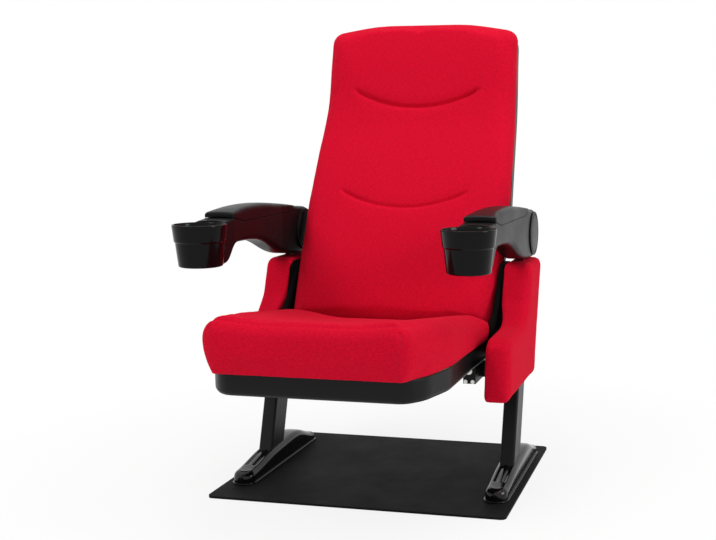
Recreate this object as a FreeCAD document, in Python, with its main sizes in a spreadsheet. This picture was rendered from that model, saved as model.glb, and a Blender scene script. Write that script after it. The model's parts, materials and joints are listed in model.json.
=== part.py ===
"""Cinema recliner seat: a rocking seat-and-back unit on two leaning posts with lift-up cup arms.

Frame: millimetres, +Z up, the seat faces -Y, X = 0 is the middle plane, and the origin is the
middle of the floor plate's underside.  Right means +X.  Every left piece mirrors its right twin.
"""
import FreeCAD, Part
import math
import os
import re

import Sketcher

from FreeCAD import Placement, Rotation, Vector

DIMENSIONS = {
    "floor plate": {"plate_wide": 648, "plate_deep": 500, "plate_thick": 5, "plate_corner": 12},
    "posts": {
        "post_gauge": 283.75, "post_wide": 32.5, "post_deep": 70, "post_wall": 3,
        "post_corner": 5, "post_base_y": -26, "post_lean": 18, "post_top_z": 458,
        "lid_thick": 6, "lug_thick": 12, "lug_eye_radius": 20,
    },
    "feet": {
        "foot_front": 172, "foot_rear": 196, "foot_wide": 48, "foot_top_round": 8,
        "toe_z": 31, "instep_z": 47, "heel_z": 54, "tail_z": 24, "skirt_out": 3,
        "skirt_high": 3, "toe_round": 22, "sole_wide": 34, "sole_thick": 6, "sole_inset": 12,
        "cover_wall": 4, "anchor_front_y": -146, "anchor_rear_y": 138, "anchor_radius": 5,
        "anchor_head": 8.5, "anchor_head_high": 6.4, "bolt_cap_radius": 13,
        "bolt_cap_high": 4, "slot_wide": 5, "slot_deep": 4, "slot_spread": 9,
    },
    "side panels": {
        "panel_inner": 264, "panel_thick": 54, "panel_bottom_z": 216, "panel_front_y": -190,
        "nose_y": -172, "nose_z": 330, "shelf_y": -146, "shelf_z": 347, "waist_y": -14,
        "waist_z": 354, "riser_y": 30, "riser_z": 400, "brow_y": 60, "brow_z": 470,
        "panel_top_y": 74, "panel_top_z": 476, "panel_rear_y": 206, "panel_heel_y": 112,
        "panel_corner": 14, "panel_sweep": 60, "panel_outer_round": 11,
        "panel_inner_round": 5, "panel_border": 12, "panel_skin": 6, "liner_thick": 2.7,
    },
    "beam": {
        "beam_y": 52, "beam_z": 243, "beam_high": 38, "beam_deep": 40, "beam_wall": 3,
        "flange_thick": 5, "beam_flange_deep": 62, "beam_flange_high": 44, "bolt_radius": 3,
        "bolt_head": 4.4, "bolt_head_high": 4, "bolt_grip": 9, "bracket_gauge": 199,
        "bracket_wide": 28, "bracket_front_y": -40, "stop_bolt_head": 7.5, "buffer_radius": 11,
        "buffer_y": -22,
    },
    "rocking hinge": {
        "hinge_y": 68, "hinge_z": 290, "hinge_pin_radius": 8, "rubber_radius": 16,
        "housing_radius": 21, "housing_flange": 48, "side_arm_inset": 12, "side_arm_thick": 6,
        "side_arm_eye": 23, "side_arm_front_y": -318, "pin_head_radius": 13,
        "pin_head_high": 4, "sill_wide": 22, "sill_thick": 4.5, "sill_rear_gap": 8,
    },
    "seat": {
        "pan_half_front": 150, "pan_corner_x": 209, "pan_corner_y": -414, "pan_flare_x": 233,
        "pan_flare_y": -330, "pan_half_rear": 236, "pan_front_y": -453, "pan_rear_y": -14,
        "pan_low_z": 278, "pan_high_z": 325, "pan_wall": 3.5, "pan_corner": 45,
        "pan_edge_round": 10, "board_thick": 10, "cushion_front_y": -492,
        "cushion_rear_y": -26, "cushion_front_z": 431, "cushion_slope": 8,
        "seat_dish": 9, "seat_dish_rear": 7, "cushion_bulge": 9, "bolster_inset": 30,
    },
    "back": {
        "back_foot_y": -7, "back_lean": 28.5, "back_bend_z": 815, "back_bend_long": 120,
        "back_top_lean": 11, "back_low_z": 336, "back_top_z": 1012, "back_half_wide": 249.5,
        "back_half_top": 235, "back_half_low": 239, "back_wide_z": 600, "back_front": 42,
        "back_rear": 20, "back_crown": 9, "back_side_round": 22, "head_round": 30,
        "head_shoulder": 70, "back_board_thick": 11,
        "back_board_inset": 10, "shell_deep": 44, "shell_wall": 4.5, "shell_inset": 4,
        "bar_wide": 20, "bar_deep": 14, "bar_low_z": 296,
        "bar_top_z": 740, "screw_lift": 3, "channel_radius": 297, "channel_tube": 5, "channel_half_angle": 33,
        "upper_channel_z": 832, "lower_channel_z": 597,
    },
    "arms": {
        "pivot_z": 540, "hub_radius": 54, "arm_inner_rear": 255, "arm_inner_front": 239,
        "arm_outer": 306, "arm_taper_y": 20, "arm_lip_y": -252, "arm_lip_z": 607,
        "arm_peak_y": -110, "arm_peak_z": 616, "arch_front_y": -262, "arch_front_z": 535,
        "arch_y": -180, "arch_z": 544.5, "arch_fall_y": -45, "arch_fall_z": 524,
        "arch_rear_y": 60, "arch_rear_z": 497, "neck_z": 514, "neck_y": -290, "ledge_z": 596, "seam_z": 587,
        "seam_rear_y": 52, "seam_top_y": 92, "arm_swing": 90, "arm_pin_radius": 7,
        "arm_bush_radius": 10, "disc_radius": 50, "disc_thick": 3, "disc_groove": 1.5,
        "cup_x": 272, "cup_y": -335, "cup_rim_z": 591, "cup_step_z": 557, "cup_low_z": 507,
        "cup_rim_radius": 53, "cup_step_radius": 49.5, "cup_body_radius": 47.5,
        "cup_low_radius": 42, "cup_wall": 3.5,
    },
    "clearances": {"seat_gap": 0.3, "running_gap": 0.05, "hinge_gap": 0.5, "swing_gap": 0.8},
}


def open_document():
    """Make the document and its sheet of driving dimensions, one titled block of rows per group."""
    doc = FreeCAD.newDocument("cinema_seat")
    sheet = doc.addObject("Spreadsheet::Sheet", "Dims")
    row = 1
    for group, entries in DIMENSIONS.items():
        sheet.set(f"A{row}", group)
        row += 1
        for alias, value in entries.items():
            sheet.set(f"A{row}", alias.replace("_", " "))
            sheet.set(f"B{row}", str(value))
            sheet.setAlias(f"B{row}", alias)
            row += 1
    doc.recompute()
    return doc, sheet


DOC, SHEET = open_document()
ALIASES = [alias for entries in DIMENSIONS.values() for alias in entries]
WORD = re.compile(r"\b(" + "|".join(sorted(ALIASES, key=len, reverse=True)) + r")\b")


def linked(text):
    """Return an expression in which every sheet name points at its cell."""
    return WORD.sub(r"Dims.\1", str(text))


def size(alias):
    """Read one driving dimension from the sheet."""
    return float(getattr(SHEET, alias))


def bind(thing, **paths):
    """Bind properties to expressions; a double underscore in a name stands for a dot."""
    for path, text in paths.items():
        thing.setExpression(path.replace("__", "."), linked(text))


def place(thing, x, y, z):
    """Bind the base of an object's placement."""
    bind(thing, Placement__Base__x=x, Placement__Base__y=y, Placement__Base__z=z)
    return thing


AXIS_TURN = {
    "x": Rotation(Vector(0, 1, 0), 90),
    "y": Rotation(Vector(1, 0, 0), -90),
    "z": Rotation(),
}


def block(name, sizes, corner):
    """A box with its lowest corner at the given place."""
    thing = DOC.addObject("Part::Box", name)
    bind(thing, Length=sizes[0], Width=sizes[1], Height=sizes[2])
    return place(thing, *corner)


def rod(name, axis, radius, length, start):
    """A cylinder that runs from its start point along +x, +y or +z."""
    thing = DOC.addObject("Part::Cylinder", name)
    thing.Placement = Placement(Vector(), AXIS_TURN[axis])
    bind(thing, Radius=radius, Height=length)
    return place(thing, *start)


def cut(name, base, *tools):
    """Take the tools away from the base."""
    thing = DOC.addObject("Part::Cut", name)
    thing.Base = base
    thing.Tool = tools[0] if len(tools) == 1 else fuse(name + "_tools", *tools)
    return thing


def fuse(name, *pieces):
    """Join touching pieces into one."""
    thing = DOC.addObject("Part::MultiFuse", name)
    thing.Shapes = list(pieces)
    return thing


def group(name, *pieces):
    """Hold separate solids in one node."""
    thing = DOC.addObject("Part::Compound", name)
    thing.Links = list(pieces)
    return thing


def mirrored(name, source):
    """The twin of a piece across the middle plane."""
    thing = DOC.addObject("Part::Mirroring", name)
    thing.Source = source
    thing.Normal = Vector(1, 0, 0)
    return thing


def origin_plane(body, role):
    """Find one of a body's own origin planes."""
    return next(item for item in body.Origin.OriginFeatures if item.Role == role)


def solve(text):
    """Work out an expression's value now, for a sketch's first guess."""
    return float(SHEET.evalExpression(linked(text)))


def outline(body, name, role, corners, offset="0"):
    """A closed sketch of straight sides whose corners are bound to the sheet."""
    sketch = body.newObject("Sketcher::SketchObject", name)
    sketch.AttachmentSupport = (origin_plane(body, role), "")
    sketch.MapMode = "FlatFace"
    bind(sketch, AttachmentOffset__Base__z=offset)
    count = len(corners)
    spots = [Vector(solve(u), solve(v), 0) for u, v in corners]
    for index in range(count):
        sketch.addGeometry(Part.LineSegment(spots[index], spots[(index + 1) % count]), False)
    for index in range(count):
        following = (index + 1) % count
        sketch.addConstraint(Sketcher.Constraint("Coincident", index, 2, following, 1))
    for index, (u, v) in enumerate(corners):
        for kind, text, spot in (("DistanceX", u, spots[index].x), ("DistanceY", v, spots[index].y)):
            row = sketch.addConstraint(Sketcher.Constraint(kind, index, 1, spot))
            sketch.setExpression(f"Constraints[{row}]", linked(text))
    return sketch


def prism(name, role, corners, length, offset="0"):
    """A body padded from an outline on an origin plane, along that plane's normal."""
    body = DOC.addObject("PartDesign::Body", name)
    sketch = outline(body, name + "_outline", role, corners, offset)
    pad = body.newObject("PartDesign::Pad", name + "_pad")
    pad.Profile = sketch
    bind(pad, Length=length)
    return body


def rounded(body, radius, pick):
    """Round the edges of a body's last feature that pick chooses."""
    DOC.recompute()
    tip = body.Tip
    names = [f"Edge{number}" for number, edge in enumerate(tip.Shape.Edges, 1) if pick(edge)]
    if not names:
        raise ValueError(f"{body.Label}: no edge to round")
    feature = body.newObject("PartDesign::Fillet", body.Name + "_round")
    feature.Base = (tip, names)
    bind(feature, Radius=radius)
    return body


def at_corner(axis, *spots):
    """Choose straight edges along an axis that pass through any of the given corners."""
    places = [tuple(solve(value) for value in spot) for spot in spots]

    def pick(edge):
        ends = [vertex.Point for vertex in edge.Vertexes]
        if len(ends) != 2 or abs(abs((ends[1] - ends[0]).normalize()[axis]) - 1) > 1e-6:
            return False
        here = [value for index, value in enumerate(ends[0]) if index != axis]
        return any(max(abs(a - b) for a, b in zip(here, spot)) < 0.01 for spot in places)
    return pick


def in_plane(axis, text):
    """Choose the edges that lie in a plane square to an axis."""
    level = solve(text)

    def pick(edge):
        box = edge.BoundBox
        low, high = (box.XMin, box.YMin, box.ZMin)[axis], (box.XMax, box.YMax, box.ZMax)[axis]
        return abs(low - level) < 0.01 and abs(high - level) < 0.01
    return pick


def slab(name, sketch, inset, start, length, direction):
    """A board whose outline is a sketch's, drawn in by an inset."""
    ring = DOC.addObject("Part::Offset2D", name + "_ring")
    ring.Source = sketch
    ring.Fill = False
    ring.Join = 2
    bind(ring, Value=f"-({inset})")
    board = DOC.addObject("Part::Extrusion", name)
    board.Base = ring
    board.DirMode = "Custom"
    board.Dir = direction
    board.Solid = True
    bind(board, LengthFwd=length)
    axis = "xyz"[[abs(value) for value in direction].index(1)]
    board.setExpression(f"Placement.Base.{axis}", linked(start))
    return board


def feature(name, shape):
    """A piece whose form no feature makes, shaped by this script from the sheet's values."""
    thing = DOC.addObject("Part::Feature", name)
    thing.Shape = shape
    return thing


def post_y(height, shift="0"):
    """Expression for y on the leaning post: its middle line at a height, plus a shift."""
    return f"(post_base_y + ({height}) * tan(post_lean) + ({shift}))"


def leaning_bar(name, low, high, half, start, length):
    """A bar that follows the post's lean between two heights."""
    corners = [
        (post_y(low, f"-({half})"), low), (post_y(low, half), low),
        (post_y(high, half), high), (post_y(high, f"-({half})"), high),
    ]
    return prism(name, "YZ_Plane", corners, length, start)


POST_INNER = "post_gauge - post_wide / 2"
POST_HALF = "post_deep / 2"
SOLE_TOP = "plate_thick + sole_thick"
PIVOT_Y = post_y("pivot_z")


def anchor_spots():
    """Where the two bolts of one foot stand."""
    return ("anchor_front_y", "anchor_rear_y")


def floor_plate():
    """The display base: a flat steel plate with a hole for each anchor bolt."""
    half_wide, half_deep = "plate_wide / 2", "plate_deep / 2"
    corners = [
        (f"-{half_wide}", f"-{half_deep}"), (half_wide, f"-{half_deep}"),
        (half_wide, half_deep), (f"-{half_wide}", half_deep),
    ]
    plate = prism("plate_blank", "XY_Plane", corners, "plate_thick")
    rounded(plate, "plate_corner", at_corner(2, *corners))
    holes = []
    for side, gauge in (("right", "post_gauge"), ("left", "-post_gauge")):
        for number, spot in enumerate(anchor_spots()):
            holes.append(rod(f"plate_hole_{side}_{number}", "z", "anchor_radius + seat_gap",
                             "plate_thick + 2", (gauge, spot, "-1")))
    return cut("floor_plate", plate, *holes)


def foot_plate():
    """The flat steel sole that the post is welded to."""
    blank = block("sole_blank", ("sole_wide", "foot_front + foot_rear - 2 * sole_inset", "sole_thick"),
                  ("post_gauge - sole_wide / 2", "sole_inset - foot_front", "plate_thick"))
    holes = [
        rod(f"sole_hole_{number}", "z", "anchor_radius + seat_gap", "sole_thick + 2",
            ("post_gauge", spot, "plate_thick - 1"))
        for number, spot in enumerate(anchor_spots())
    ]
    return cut("foot_plate_right", blank, *holes)


def anchor_bolts():
    """Two bolts that clamp the sole to the floor plate."""
    bolts = []
    for number, spot in enumerate(anchor_spots()):
        shank = rod(f"anchor_shank_{number}", "z", "anchor_radius", SOLE_TOP,
                    ("post_gauge", spot, "0"))
        head = rod(f"anchor_head_{number}", "z", "anchor_head", "anchor_head_high",
                   ("post_gauge", spot, SOLE_TOP))
        bolts.append(fuse(f"anchor_bolt_{number}", shank, head))
    return group("anchor_bolts_right", *bolts)


def foot_cover():
    """The boat-shaped moulded cover: low round toe, rise to the post, hump and tail behind."""
    post_front, post_rear = post_y("instep_z", f"-({POST_HALF})"), post_y("heel_z", POST_HALF)
    toe_flat_y = "anchor_front_y + bolt_cap_radius + 6"
    profile = [
        ("-foot_front", "plate_thick"), ("foot_rear", "plate_thick"),
        ("foot_rear - 12", "tail_z"), (f"{post_rear} + 60", "heel_z - 4"),
        (post_rear, "heel_z"), (f"{post_front} - 4", "instep_z"),
        (toe_flat_y, "toe_z + 1"), ("7 - foot_front", "toe_z"), ("-foot_front", "toe_z - 9"),
    ]
    hull = prism("cover_hull", "YZ_Plane", profile, "foot_wide", "post_gauge - foot_wide / 2")
    low = solve("plate_thick")

    def on_top(edge):
        spots = [vertex.Point for vertex in edge.Vertexes]
        level = abs(spots[0].x - spots[1].x) < 0.01 and min(spot.z for spot in spots) > low + 1
        return level
    rounded(hull, "foot_top_round", on_top)
    half = "foot_wide / 2"
    plan = [
        (f"post_gauge - {half}", "-foot_front"), (f"post_gauge + {half}", "-foot_front"),
        (f"post_gauge + {half}", "foot_rear"), (f"post_gauge - {half}", "foot_rear"),
    ]
    boat = prism("cover_plan", "XY_Plane", plan, "heel_z + 10")
    rounded(boat, "toe_round", at_corner(2, *plan))
    skirt_plan = [
        (f"post_gauge - {half} - skirt_out", "-foot_front - skirt_out"),
        (f"post_gauge + {half} + skirt_out", "-foot_front - skirt_out"),
        (f"post_gauge + {half} + skirt_out", "foot_rear + skirt_out"),
        (f"post_gauge - {half} - skirt_out", "foot_rear + skirt_out"),
    ]
    skirt = prism("cover_skirt", "XY_Plane", skirt_plan, "skirt_high", "plate_thick")
    rounded(skirt, "toe_round + skirt_out", at_corner(2, *skirt_plan))
    shell = DOC.addObject("Part::Common", "cover_form")
    shell.Base, shell.Tool = hull, boat
    blank = fuse("cover_blank", shell, skirt)
    room = block("cover_room", ("foot_wide - 2 * cover_wall",
                                "foot_front + foot_rear - 2 * sole_inset + 2 * seat_gap",
                                "sole_thick + anchor_head_high + 1"),
                 (f"post_gauge - {half} + cover_wall", "sole_inset - foot_front - seat_gap",
                  "plate_thick"))
    passage = leaning_bar("cover_passage", "0", "heel_z + 20", f"{POST_HALF} + seat_gap",
                          f"{POST_INNER} - seat_gap", "post_wide + 2 * seat_gap")
    seat = rod("cap_recess", "z", "bolt_cap_radius + seat_gap", "20",
               ("post_gauge", "anchor_front_y", "toe_z - 2"))
    bore = rod("cap_bore", "z", "anchor_head + 1", "toe_z",
               ("post_gauge", "anchor_front_y", "plate_thick"))
    slots = []
    start, end = f"({toe_flat_y} + 4)", f"({post_front} - 12)"
    rise = f"((instep_z - toe_z - 1) / ({post_front} - 4 - ({toe_flat_y})))"
    for number, sign in enumerate(("+", "-")):
        low_z, high_z = f"toe_z + 1 + 4 * {rise}", f"toe_z + 1 + ({end} - ({toe_flat_y})) * {rise}"
        corners = [
            (start, f"{low_z} - slot_deep"), (end, f"{high_z} - slot_deep"),
            (end, f"{high_z} + 10"), (start, f"{low_z} + 10"),
        ]
        slots.append(prism(f"cover_slot_{number}", "YZ_Plane", corners, "slot_wide",
                           f"post_gauge {sign} slot_spread - slot_wide / 2"))
    return cut("foot_cover_right", blank, room, passage, seat, bore, *slots)


def bolt_cap():
    """The round plug over the front anchor bolt."""
    disc = rod("cap_disc", "z", "bolt_cap_radius", "bolt_cap_high",
               ("post_gauge", "anchor_front_y", "toe_z - 2"))
    ring = rod("cap_ring", "z", "bolt_cap_radius - 4", "bolt_cap_high",
               ("post_gauge", "anchor_front_y", "toe_z - 3 + bolt_cap_high"))
    return cut("bolt_cap_right", disc, ring)


def hinge_bolt_spots():
    """Corners of the hinge housing's flange that hold its bolts."""
    reach = "(housing_flange / 2 - 5.5)"
    return [(f"hinge_y {a} {reach}", f"hinge_z {b} {reach}") for a in "+-" for b in "+-"]


def beam_bolt_spots():
    """Where the bolts of one beam flange stand."""
    reach = "(beam_flange_deep / 2 - 6)"
    return [(f"beam_y {a} {reach}", "beam_z") for a in "+-"]


def leg_post():
    """The leaning steel tube from the sole to the lid below the arm pivot."""
    outer = leaning_bar("post_outer", SOLE_TOP, "post_top_z", POST_HALF, POST_INNER, "post_wide")
    lean = Vector(0, solve("tan(post_lean)"), 1).normalize()

    def along_lean(edge):
        ends = [vertex.Point for vertex in edge.Vertexes]
        return abs(abs((ends[1] - ends[0]).normalize().dot(lean)) - 1) < 1e-6
    rounded(outer, "post_corner", along_lean)
    inner = leaning_bar("post_hollow", "0", "post_top_z + 10", f"{POST_HALF} - post_wall",
                        f"{POST_INNER} + post_wall", "post_wide - 2 * post_wall")
    holes = [
        rod(f"post_hole_{number}", "x", "bolt_radius + running_gap", "bolt_grip + 4",
            (f"{POST_INNER} - 2", y, z))
        for number, (y, z) in enumerate(beam_bolt_spots() + hinge_bolt_spots())
    ]
    return cut("leg_post_right", outer, inner, *holes)


def post_lug():
    """The lid on the tube's top and the upright eye that carries the arm's pivot."""
    lid = leaning_bar("lug_lid", "post_top_z", "post_top_z + lid_thick", f"({POST_HALF} - 1)",
                      f"{POST_INNER} + 1", "post_wide - 2")
    upright = leaning_bar("lug_upright", "post_top_z + lid_thick", "pivot_z", "lug_eye_radius",
                          "post_gauge - lug_thick / 2", "lug_thick")
    eye = rod("lug_eye", "x", "lug_eye_radius", "lug_thick",
              ("post_gauge - lug_thick / 2", PIVOT_Y, "pivot_z"))
    hole = rod("lug_hole", "x", "arm_bush_radius", "lug_thick + 2",
               ("post_gauge - lug_thick / 2 - 1", PIVOT_Y, "pivot_z"))
    return cut("post_lug_right", fuse("lug_blank", lid, upright, eye), hole)


def arm_bush():
    """The plastic bush pressed into the eye."""
    ring = rod("bush_ring", "x", "arm_bush_radius", "lug_thick",
               ("post_gauge - lug_thick / 2", PIVOT_Y, "pivot_z"))
    bore = rod("bush_bore", "x", "arm_pin_radius + running_gap", "lug_thick + 2",
               ("post_gauge - lug_thick / 2 - 1", PIVOT_Y, "pivot_z"))
    return cut("arm_bush_right", ring, bore)


PANEL_OUTLINE = [
    ("panel_front_y", "panel_bottom_z"), ("nose_y", "nose_z"), ("shelf_y", "shelf_z"),
    ("waist_y", "waist_z"), ("riser_y", "riser_z"), ("brow_y", "brow_z"),
    ("panel_top_y", "panel_top_z"), ("panel_rear_y", "panel_top_z"),
    ("panel_heel_y", "panel_bottom_z"),
]
PANEL_HOLLOWS = (3, 4)
PANEL_OUTER = "panel_inner + panel_thick"


def mechanism_notch(name):
    """The room in a panel's inner side for the flanges of the beam and the hinge."""
    return block(name, ("10", "beam_flange_deep + 30", "hinge_z - beam_z + beam_flange_high + 16"),
                 (f"{POST_INNER} + 0.1 - 10", "beam_y - beam_flange_deep / 2 - 10",
                  "beam_z - beam_flange_high / 2 - 8"))


def post_passage(name):
    """The room in a panel for the post, its lid and the upright."""
    tube = leaning_bar(name + "_tube", "0", "post_top_z + lid_thick + seat_gap",
                       f"({POST_HALF} + seat_gap)", f"{POST_INNER} - seat_gap",
                       "post_wide + 2 * seat_gap")
    upright = leaning_bar(name + "_upright", "post_top_z", "pivot_z", "(lug_eye_radius + seat_gap)",
                          "post_gauge - lug_thick / 2 - seat_gap", "lug_thick + 2 * seat_gap")
    return fuse(name, tube, upright)


def panel_pieces():
    """The upholstered side panel: wrapped pad, board inside it and dark liner on its inner side."""
    wrap = prism("pad_wrap", "YZ_Plane", PANEL_OUTLINE, "panel_thick", "panel_inner")
    sketch = wrap.Tip.Profile[0]
    noses = [spot for index, spot in enumerate(PANEL_OUTLINE) if index not in PANEL_HOLLOWS]
    rounded(wrap, "panel_corner", at_corner(0, *noses))
    rounded(wrap, "panel_sweep", at_corner(0, *[PANEL_OUTLINE[index] for index in PANEL_HOLLOWS]))
    rounded(wrap, "panel_outer_round", in_plane(0, PANEL_OUTER))
    rounded(wrap, "panel_inner_round", in_plane(0, "panel_inner"))
    along_x = Vector(1, 0, 0)
    pocket = slab("pad_pocket", sketch, "panel_border", "-1",
                  "panel_thick - panel_skin + 1", along_x)
    pad = cut("panel_pad_right", wrap, pocket, post_passage("pad_passage"),
              mechanism_notch("pad_notch"))
    board = slab("core_board", sketch, "panel_border + seat_gap", "liner_thick + seat_gap",
                 "panel_thick - panel_skin - liner_thick - 2 * seat_gap", along_x)
    core = cut("panel_core_right", board, post_passage("core_passage"),
               mechanism_notch("core_notch"))
    sheet = slab("liner_sheet", sketch, "panel_border + seat_gap", "seat_gap",
                 "liner_thick - seat_gap", along_x)
    liner = cut("panel_liner_right", sheet, post_passage("liner_passage"),
                mechanism_notch("liner_notch"))
    return pad, core, liner


def stop_bracket():
    """The channel under the pan that holds one rubber stop; it opens downwards."""
    low = "bracket_gauge - bracket_wide / 2"
    body = block("bracket_body",
                 ("bracket_wide", "beam_y - beam_deep / 2 - bracket_front_y", "beam_high"),
                 (low, "bracket_front_y", "beam_z - beam_high / 2"))
    room = block("bracket_room",
                 ("bracket_wide - 2 * beam_wall",
                  "beam_y - beam_deep / 2 - bracket_front_y - beam_wall", "beam_high"),
                 (f"{low} + beam_wall", "bracket_front_y + beam_wall",
                  "beam_z - beam_high / 2 - beam_wall"))
    return cut("stop_bracket_right", body, room)


def cross_beam():
    """The square tube between the posts, with its end flanges."""
    half_long = f"({POST_INNER})"
    tube = block("beam_tube", (f"2 * {half_long}", "beam_deep", "beam_high"),
                 (f"-{half_long}", "beam_y - beam_deep / 2", "beam_z - beam_high / 2"))
    hollow = block("beam_hollow", (f"2 * {half_long} + 2", "beam_deep - 2 * beam_wall",
                                  "beam_high - 2 * beam_wall"),
                   (f"-{half_long} - 1", "beam_y - beam_deep / 2 + beam_wall",
                    "beam_z - beam_high / 2 + beam_wall"))
    flanges = [
        block(f"beam_flange_{side}", ("flange_thick", "beam_flange_deep", "beam_flange_high"),
              (low, "beam_y - beam_flange_deep / 2", "beam_z - beam_flange_high / 2"))
        for side, low in (("right", f"{half_long} - flange_thick"), ("left", f"-{half_long}"))
    ]
    holes = [
        rod(f"beam_hole_{side}_{number}", "x", "bolt_radius + running_gap", "flange_thick + 2",
            (start, y, z))
        for side, start in (("right", f"{half_long} - flange_thick - 1"),
                            ("left", f"-{half_long} - 1"))
        for number, (y, z) in enumerate(beam_bolt_spots())
    ]
    return cut("cross_beam", fuse("beam_blank", tube, *flanges), hollow, *holes)


def side_bolts(name, spots):
    """Bolts through a flange into the post's inner wall, heads inwards."""
    bolts = []
    for number, (y, z) in enumerate(spots):
        face = f"{POST_INNER} - flange_thick"
        shank = rod(f"{name}_shank_{number}", "x", "bolt_radius", "bolt_grip", (face, y, z))
        head = rod(f"{name}_head_{number}", "x", "bolt_head", "bolt_head_high",
                   (f"{face} - bolt_head_high", y, z))
        bolts.append(fuse(f"{name}_bolt_{number}", shank, head))
    right = group(name + "_right", *bolts)
    return group(name, right, mirrored(name + "_left", right))


def bracket_bolts():
    """The bright bolt heads on the front of each stop bracket."""
    heads = []
    spots = [("0", "beam_high / 2 - 9", "stop_bolt_head", "5"),
             ("-8", "5 - beam_high / 2", "bolt_head", "3"),
             ("8", "5 - beam_high / 2", "bolt_head", "3")]
    for number, (x, z, radius, long) in enumerate(spots):
        heads.append(rod(f"bracket_head_{number}", "y", radius, long,
                         (f"bracket_gauge + {x}", f"bracket_front_y - {long}", f"beam_z + {z}")))
    right = group("bracket_bolts_right", *heads)
    return group("bracket_bolts", right, mirrored("bracket_bolts_left", right))


def stop_buffers():
    """Rubber stops between the brackets and the pan, which rests on them."""
    right = rod("buffer_right", "z", "buffer_radius", "pan_low_z - beam_z - beam_high / 2 - seat_gap",
                ("bracket_gauge", "buffer_y", "beam_z + beam_high / 2"))
    return group("stop_buffers", right, mirrored("buffer_left", right))


SIDE_ARM_OUTER = "(pan_half_rear - side_arm_inset)"
HOUSING_START = f"{SIDE_ARM_OUTER} + hinge_gap"
SEAT_BOLT_X = f"({SIDE_ARM_OUTER} - (sill_wide + side_arm_thick) / 2)"


def hinge_pieces():
    """The rocking hinge: a flanged housing on the post, its rubber sleeve and the pin."""
    barrel = rod("housing_barrel", "x", "housing_radius", f"{POST_INNER} - ({HOUSING_START})",
                 (HOUSING_START, "hinge_y", "hinge_z"))
    flange = block("housing_plate", ("flange_thick", "housing_flange", "housing_flange"),
                   (f"{POST_INNER} - flange_thick", "hinge_y - housing_flange / 2",
                    "hinge_z - housing_flange / 2"))
    bore = rod("housing_bore", "x", "rubber_radius", "post_gauge",
               (f"{HOUSING_START} - 1", "hinge_y", "hinge_z"))
    holes = [
        rod(f"housing_hole_{number}", "x", "bolt_radius + running_gap", "flange_thick + 2",
            (f"{POST_INNER} - flange_thick - 1", y, z))
        for number, (y, z) in enumerate(hinge_bolt_spots())
    ]
    housing = cut("hinge_housing_right", fuse("housing_blank", barrel, flange), bore, *holes)
    sleeve_long = f"{POST_INNER} - flange_thick - ({HOUSING_START})"
    sleeve = rod("rubber_blank", "x", "rubber_radius", sleeve_long,
                 (HOUSING_START, "hinge_y", "hinge_z"))
    pin_bore = rod("rubber_bore", "x", "hinge_pin_radius + running_gap", "post_gauge",
                   (f"{HOUSING_START} - 1", "hinge_y", "hinge_z"))
    rubber = cut("torsion_rubber_right", sleeve, pin_bore)
    pin_start = f"{SIDE_ARM_OUTER} - side_arm_thick"
    shaft = rod("pin_shaft", "x", "hinge_pin_radius", f"side_arm_thick + hinge_gap + {sleeve_long}",
                (pin_start, "hinge_y", "hinge_z"))
    head = rod("pin_head", "x", "pin_head_radius", "pin_head_high",
               (f"{pin_start} - pin_head_high", "hinge_y", "hinge_z"))
    pin = fuse("hinge_pin_right", shaft, head)
    return housing, rubber, group("hinge_pins", pin, mirrored("hinge_pin_left", pin))


PAN_OUTLINE = [
    ("-pan_half_front", "pan_front_y"), ("pan_half_front", "pan_front_y"),
    ("pan_corner_x", "pan_corner_y"), ("pan_flare_x", "pan_flare_y"),
    ("pan_half_rear", "pan_rear_y"), ("-pan_half_rear", "pan_rear_y"),
    ("-pan_flare_x", "pan_flare_y"), ("-pan_corner_x", "pan_corner_y"),
]
PAN_FLOOR = "pan_low_z + pan_wall"
SILL_INNER = f"{SIDE_ARM_OUTER} - sill_wide"


def seat_bolt_spots():
    """Bolts from under the pan into each side arm's sill."""
    return ("side_arm_front_y + 20", "side_arm_front_y + 120", "side_arm_front_y + 220")


def seat_pieces():
    """The moulded tray under the cushion and the board that closes it."""
    tray = prism("tray_form", "XY_Plane", PAN_OUTLINE, "pan_high_z - pan_low_z", "pan_low_z")
    sketch = tray.Tip.Profile[0]
    rounded(tray, "pan_corner", at_corner(2, *(PAN_OUTLINE[:4] + PAN_OUTLINE[6:])))
    front = solve("pan_rear_y") - 1

    def low_rim(edge):
        box = edge.BoundBox
        level = solve("pan_low_z")
        return abs(box.ZMin - level) < 0.01 and abs(box.ZMax - level) < 0.01 and box.YMin < front
    rounded(tray, "pan_edge_round", low_rim)
    upward = Vector(0, 0, 1)
    room = slab("tray_room", sketch, "pan_wall", "pan_wall", "pan_high_z", upward)
    notches = []
    for side, low in (("right", f"{SIDE_ARM_OUTER} - side_arm_thick - seat_gap"),
                      ("left", f"-{SIDE_ARM_OUTER} - seat_gap")):
        notches.append(block(f"tray_notch_{side}",
                             ("side_arm_thick + 2 * seat_gap", "4 * pan_wall", "pan_high_z"),
                             (low, "pan_rear_y - 2 * pan_wall", PAN_FLOOR)))
    holes = [
        rod(f"tray_hole_{side}_{number}", "z", "bolt_radius + running_gap", "3 * pan_wall",
            (x, y, "pan_low_z - pan_wall"))
        for side, x in (("right", SEAT_BOLT_X), ("left", f"-{SEAT_BOLT_X}"))
        for number, y in enumerate(seat_bolt_spots())
    ]
    pan = cut("seat_pan", tray, room, *notches, *holes)
    board = slab("seat_board", sketch, "pan_wall + seat_gap", "pan_high_z - pan_low_z - board_thick",
                 "board_thick", upward)
    return pan, board


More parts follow.
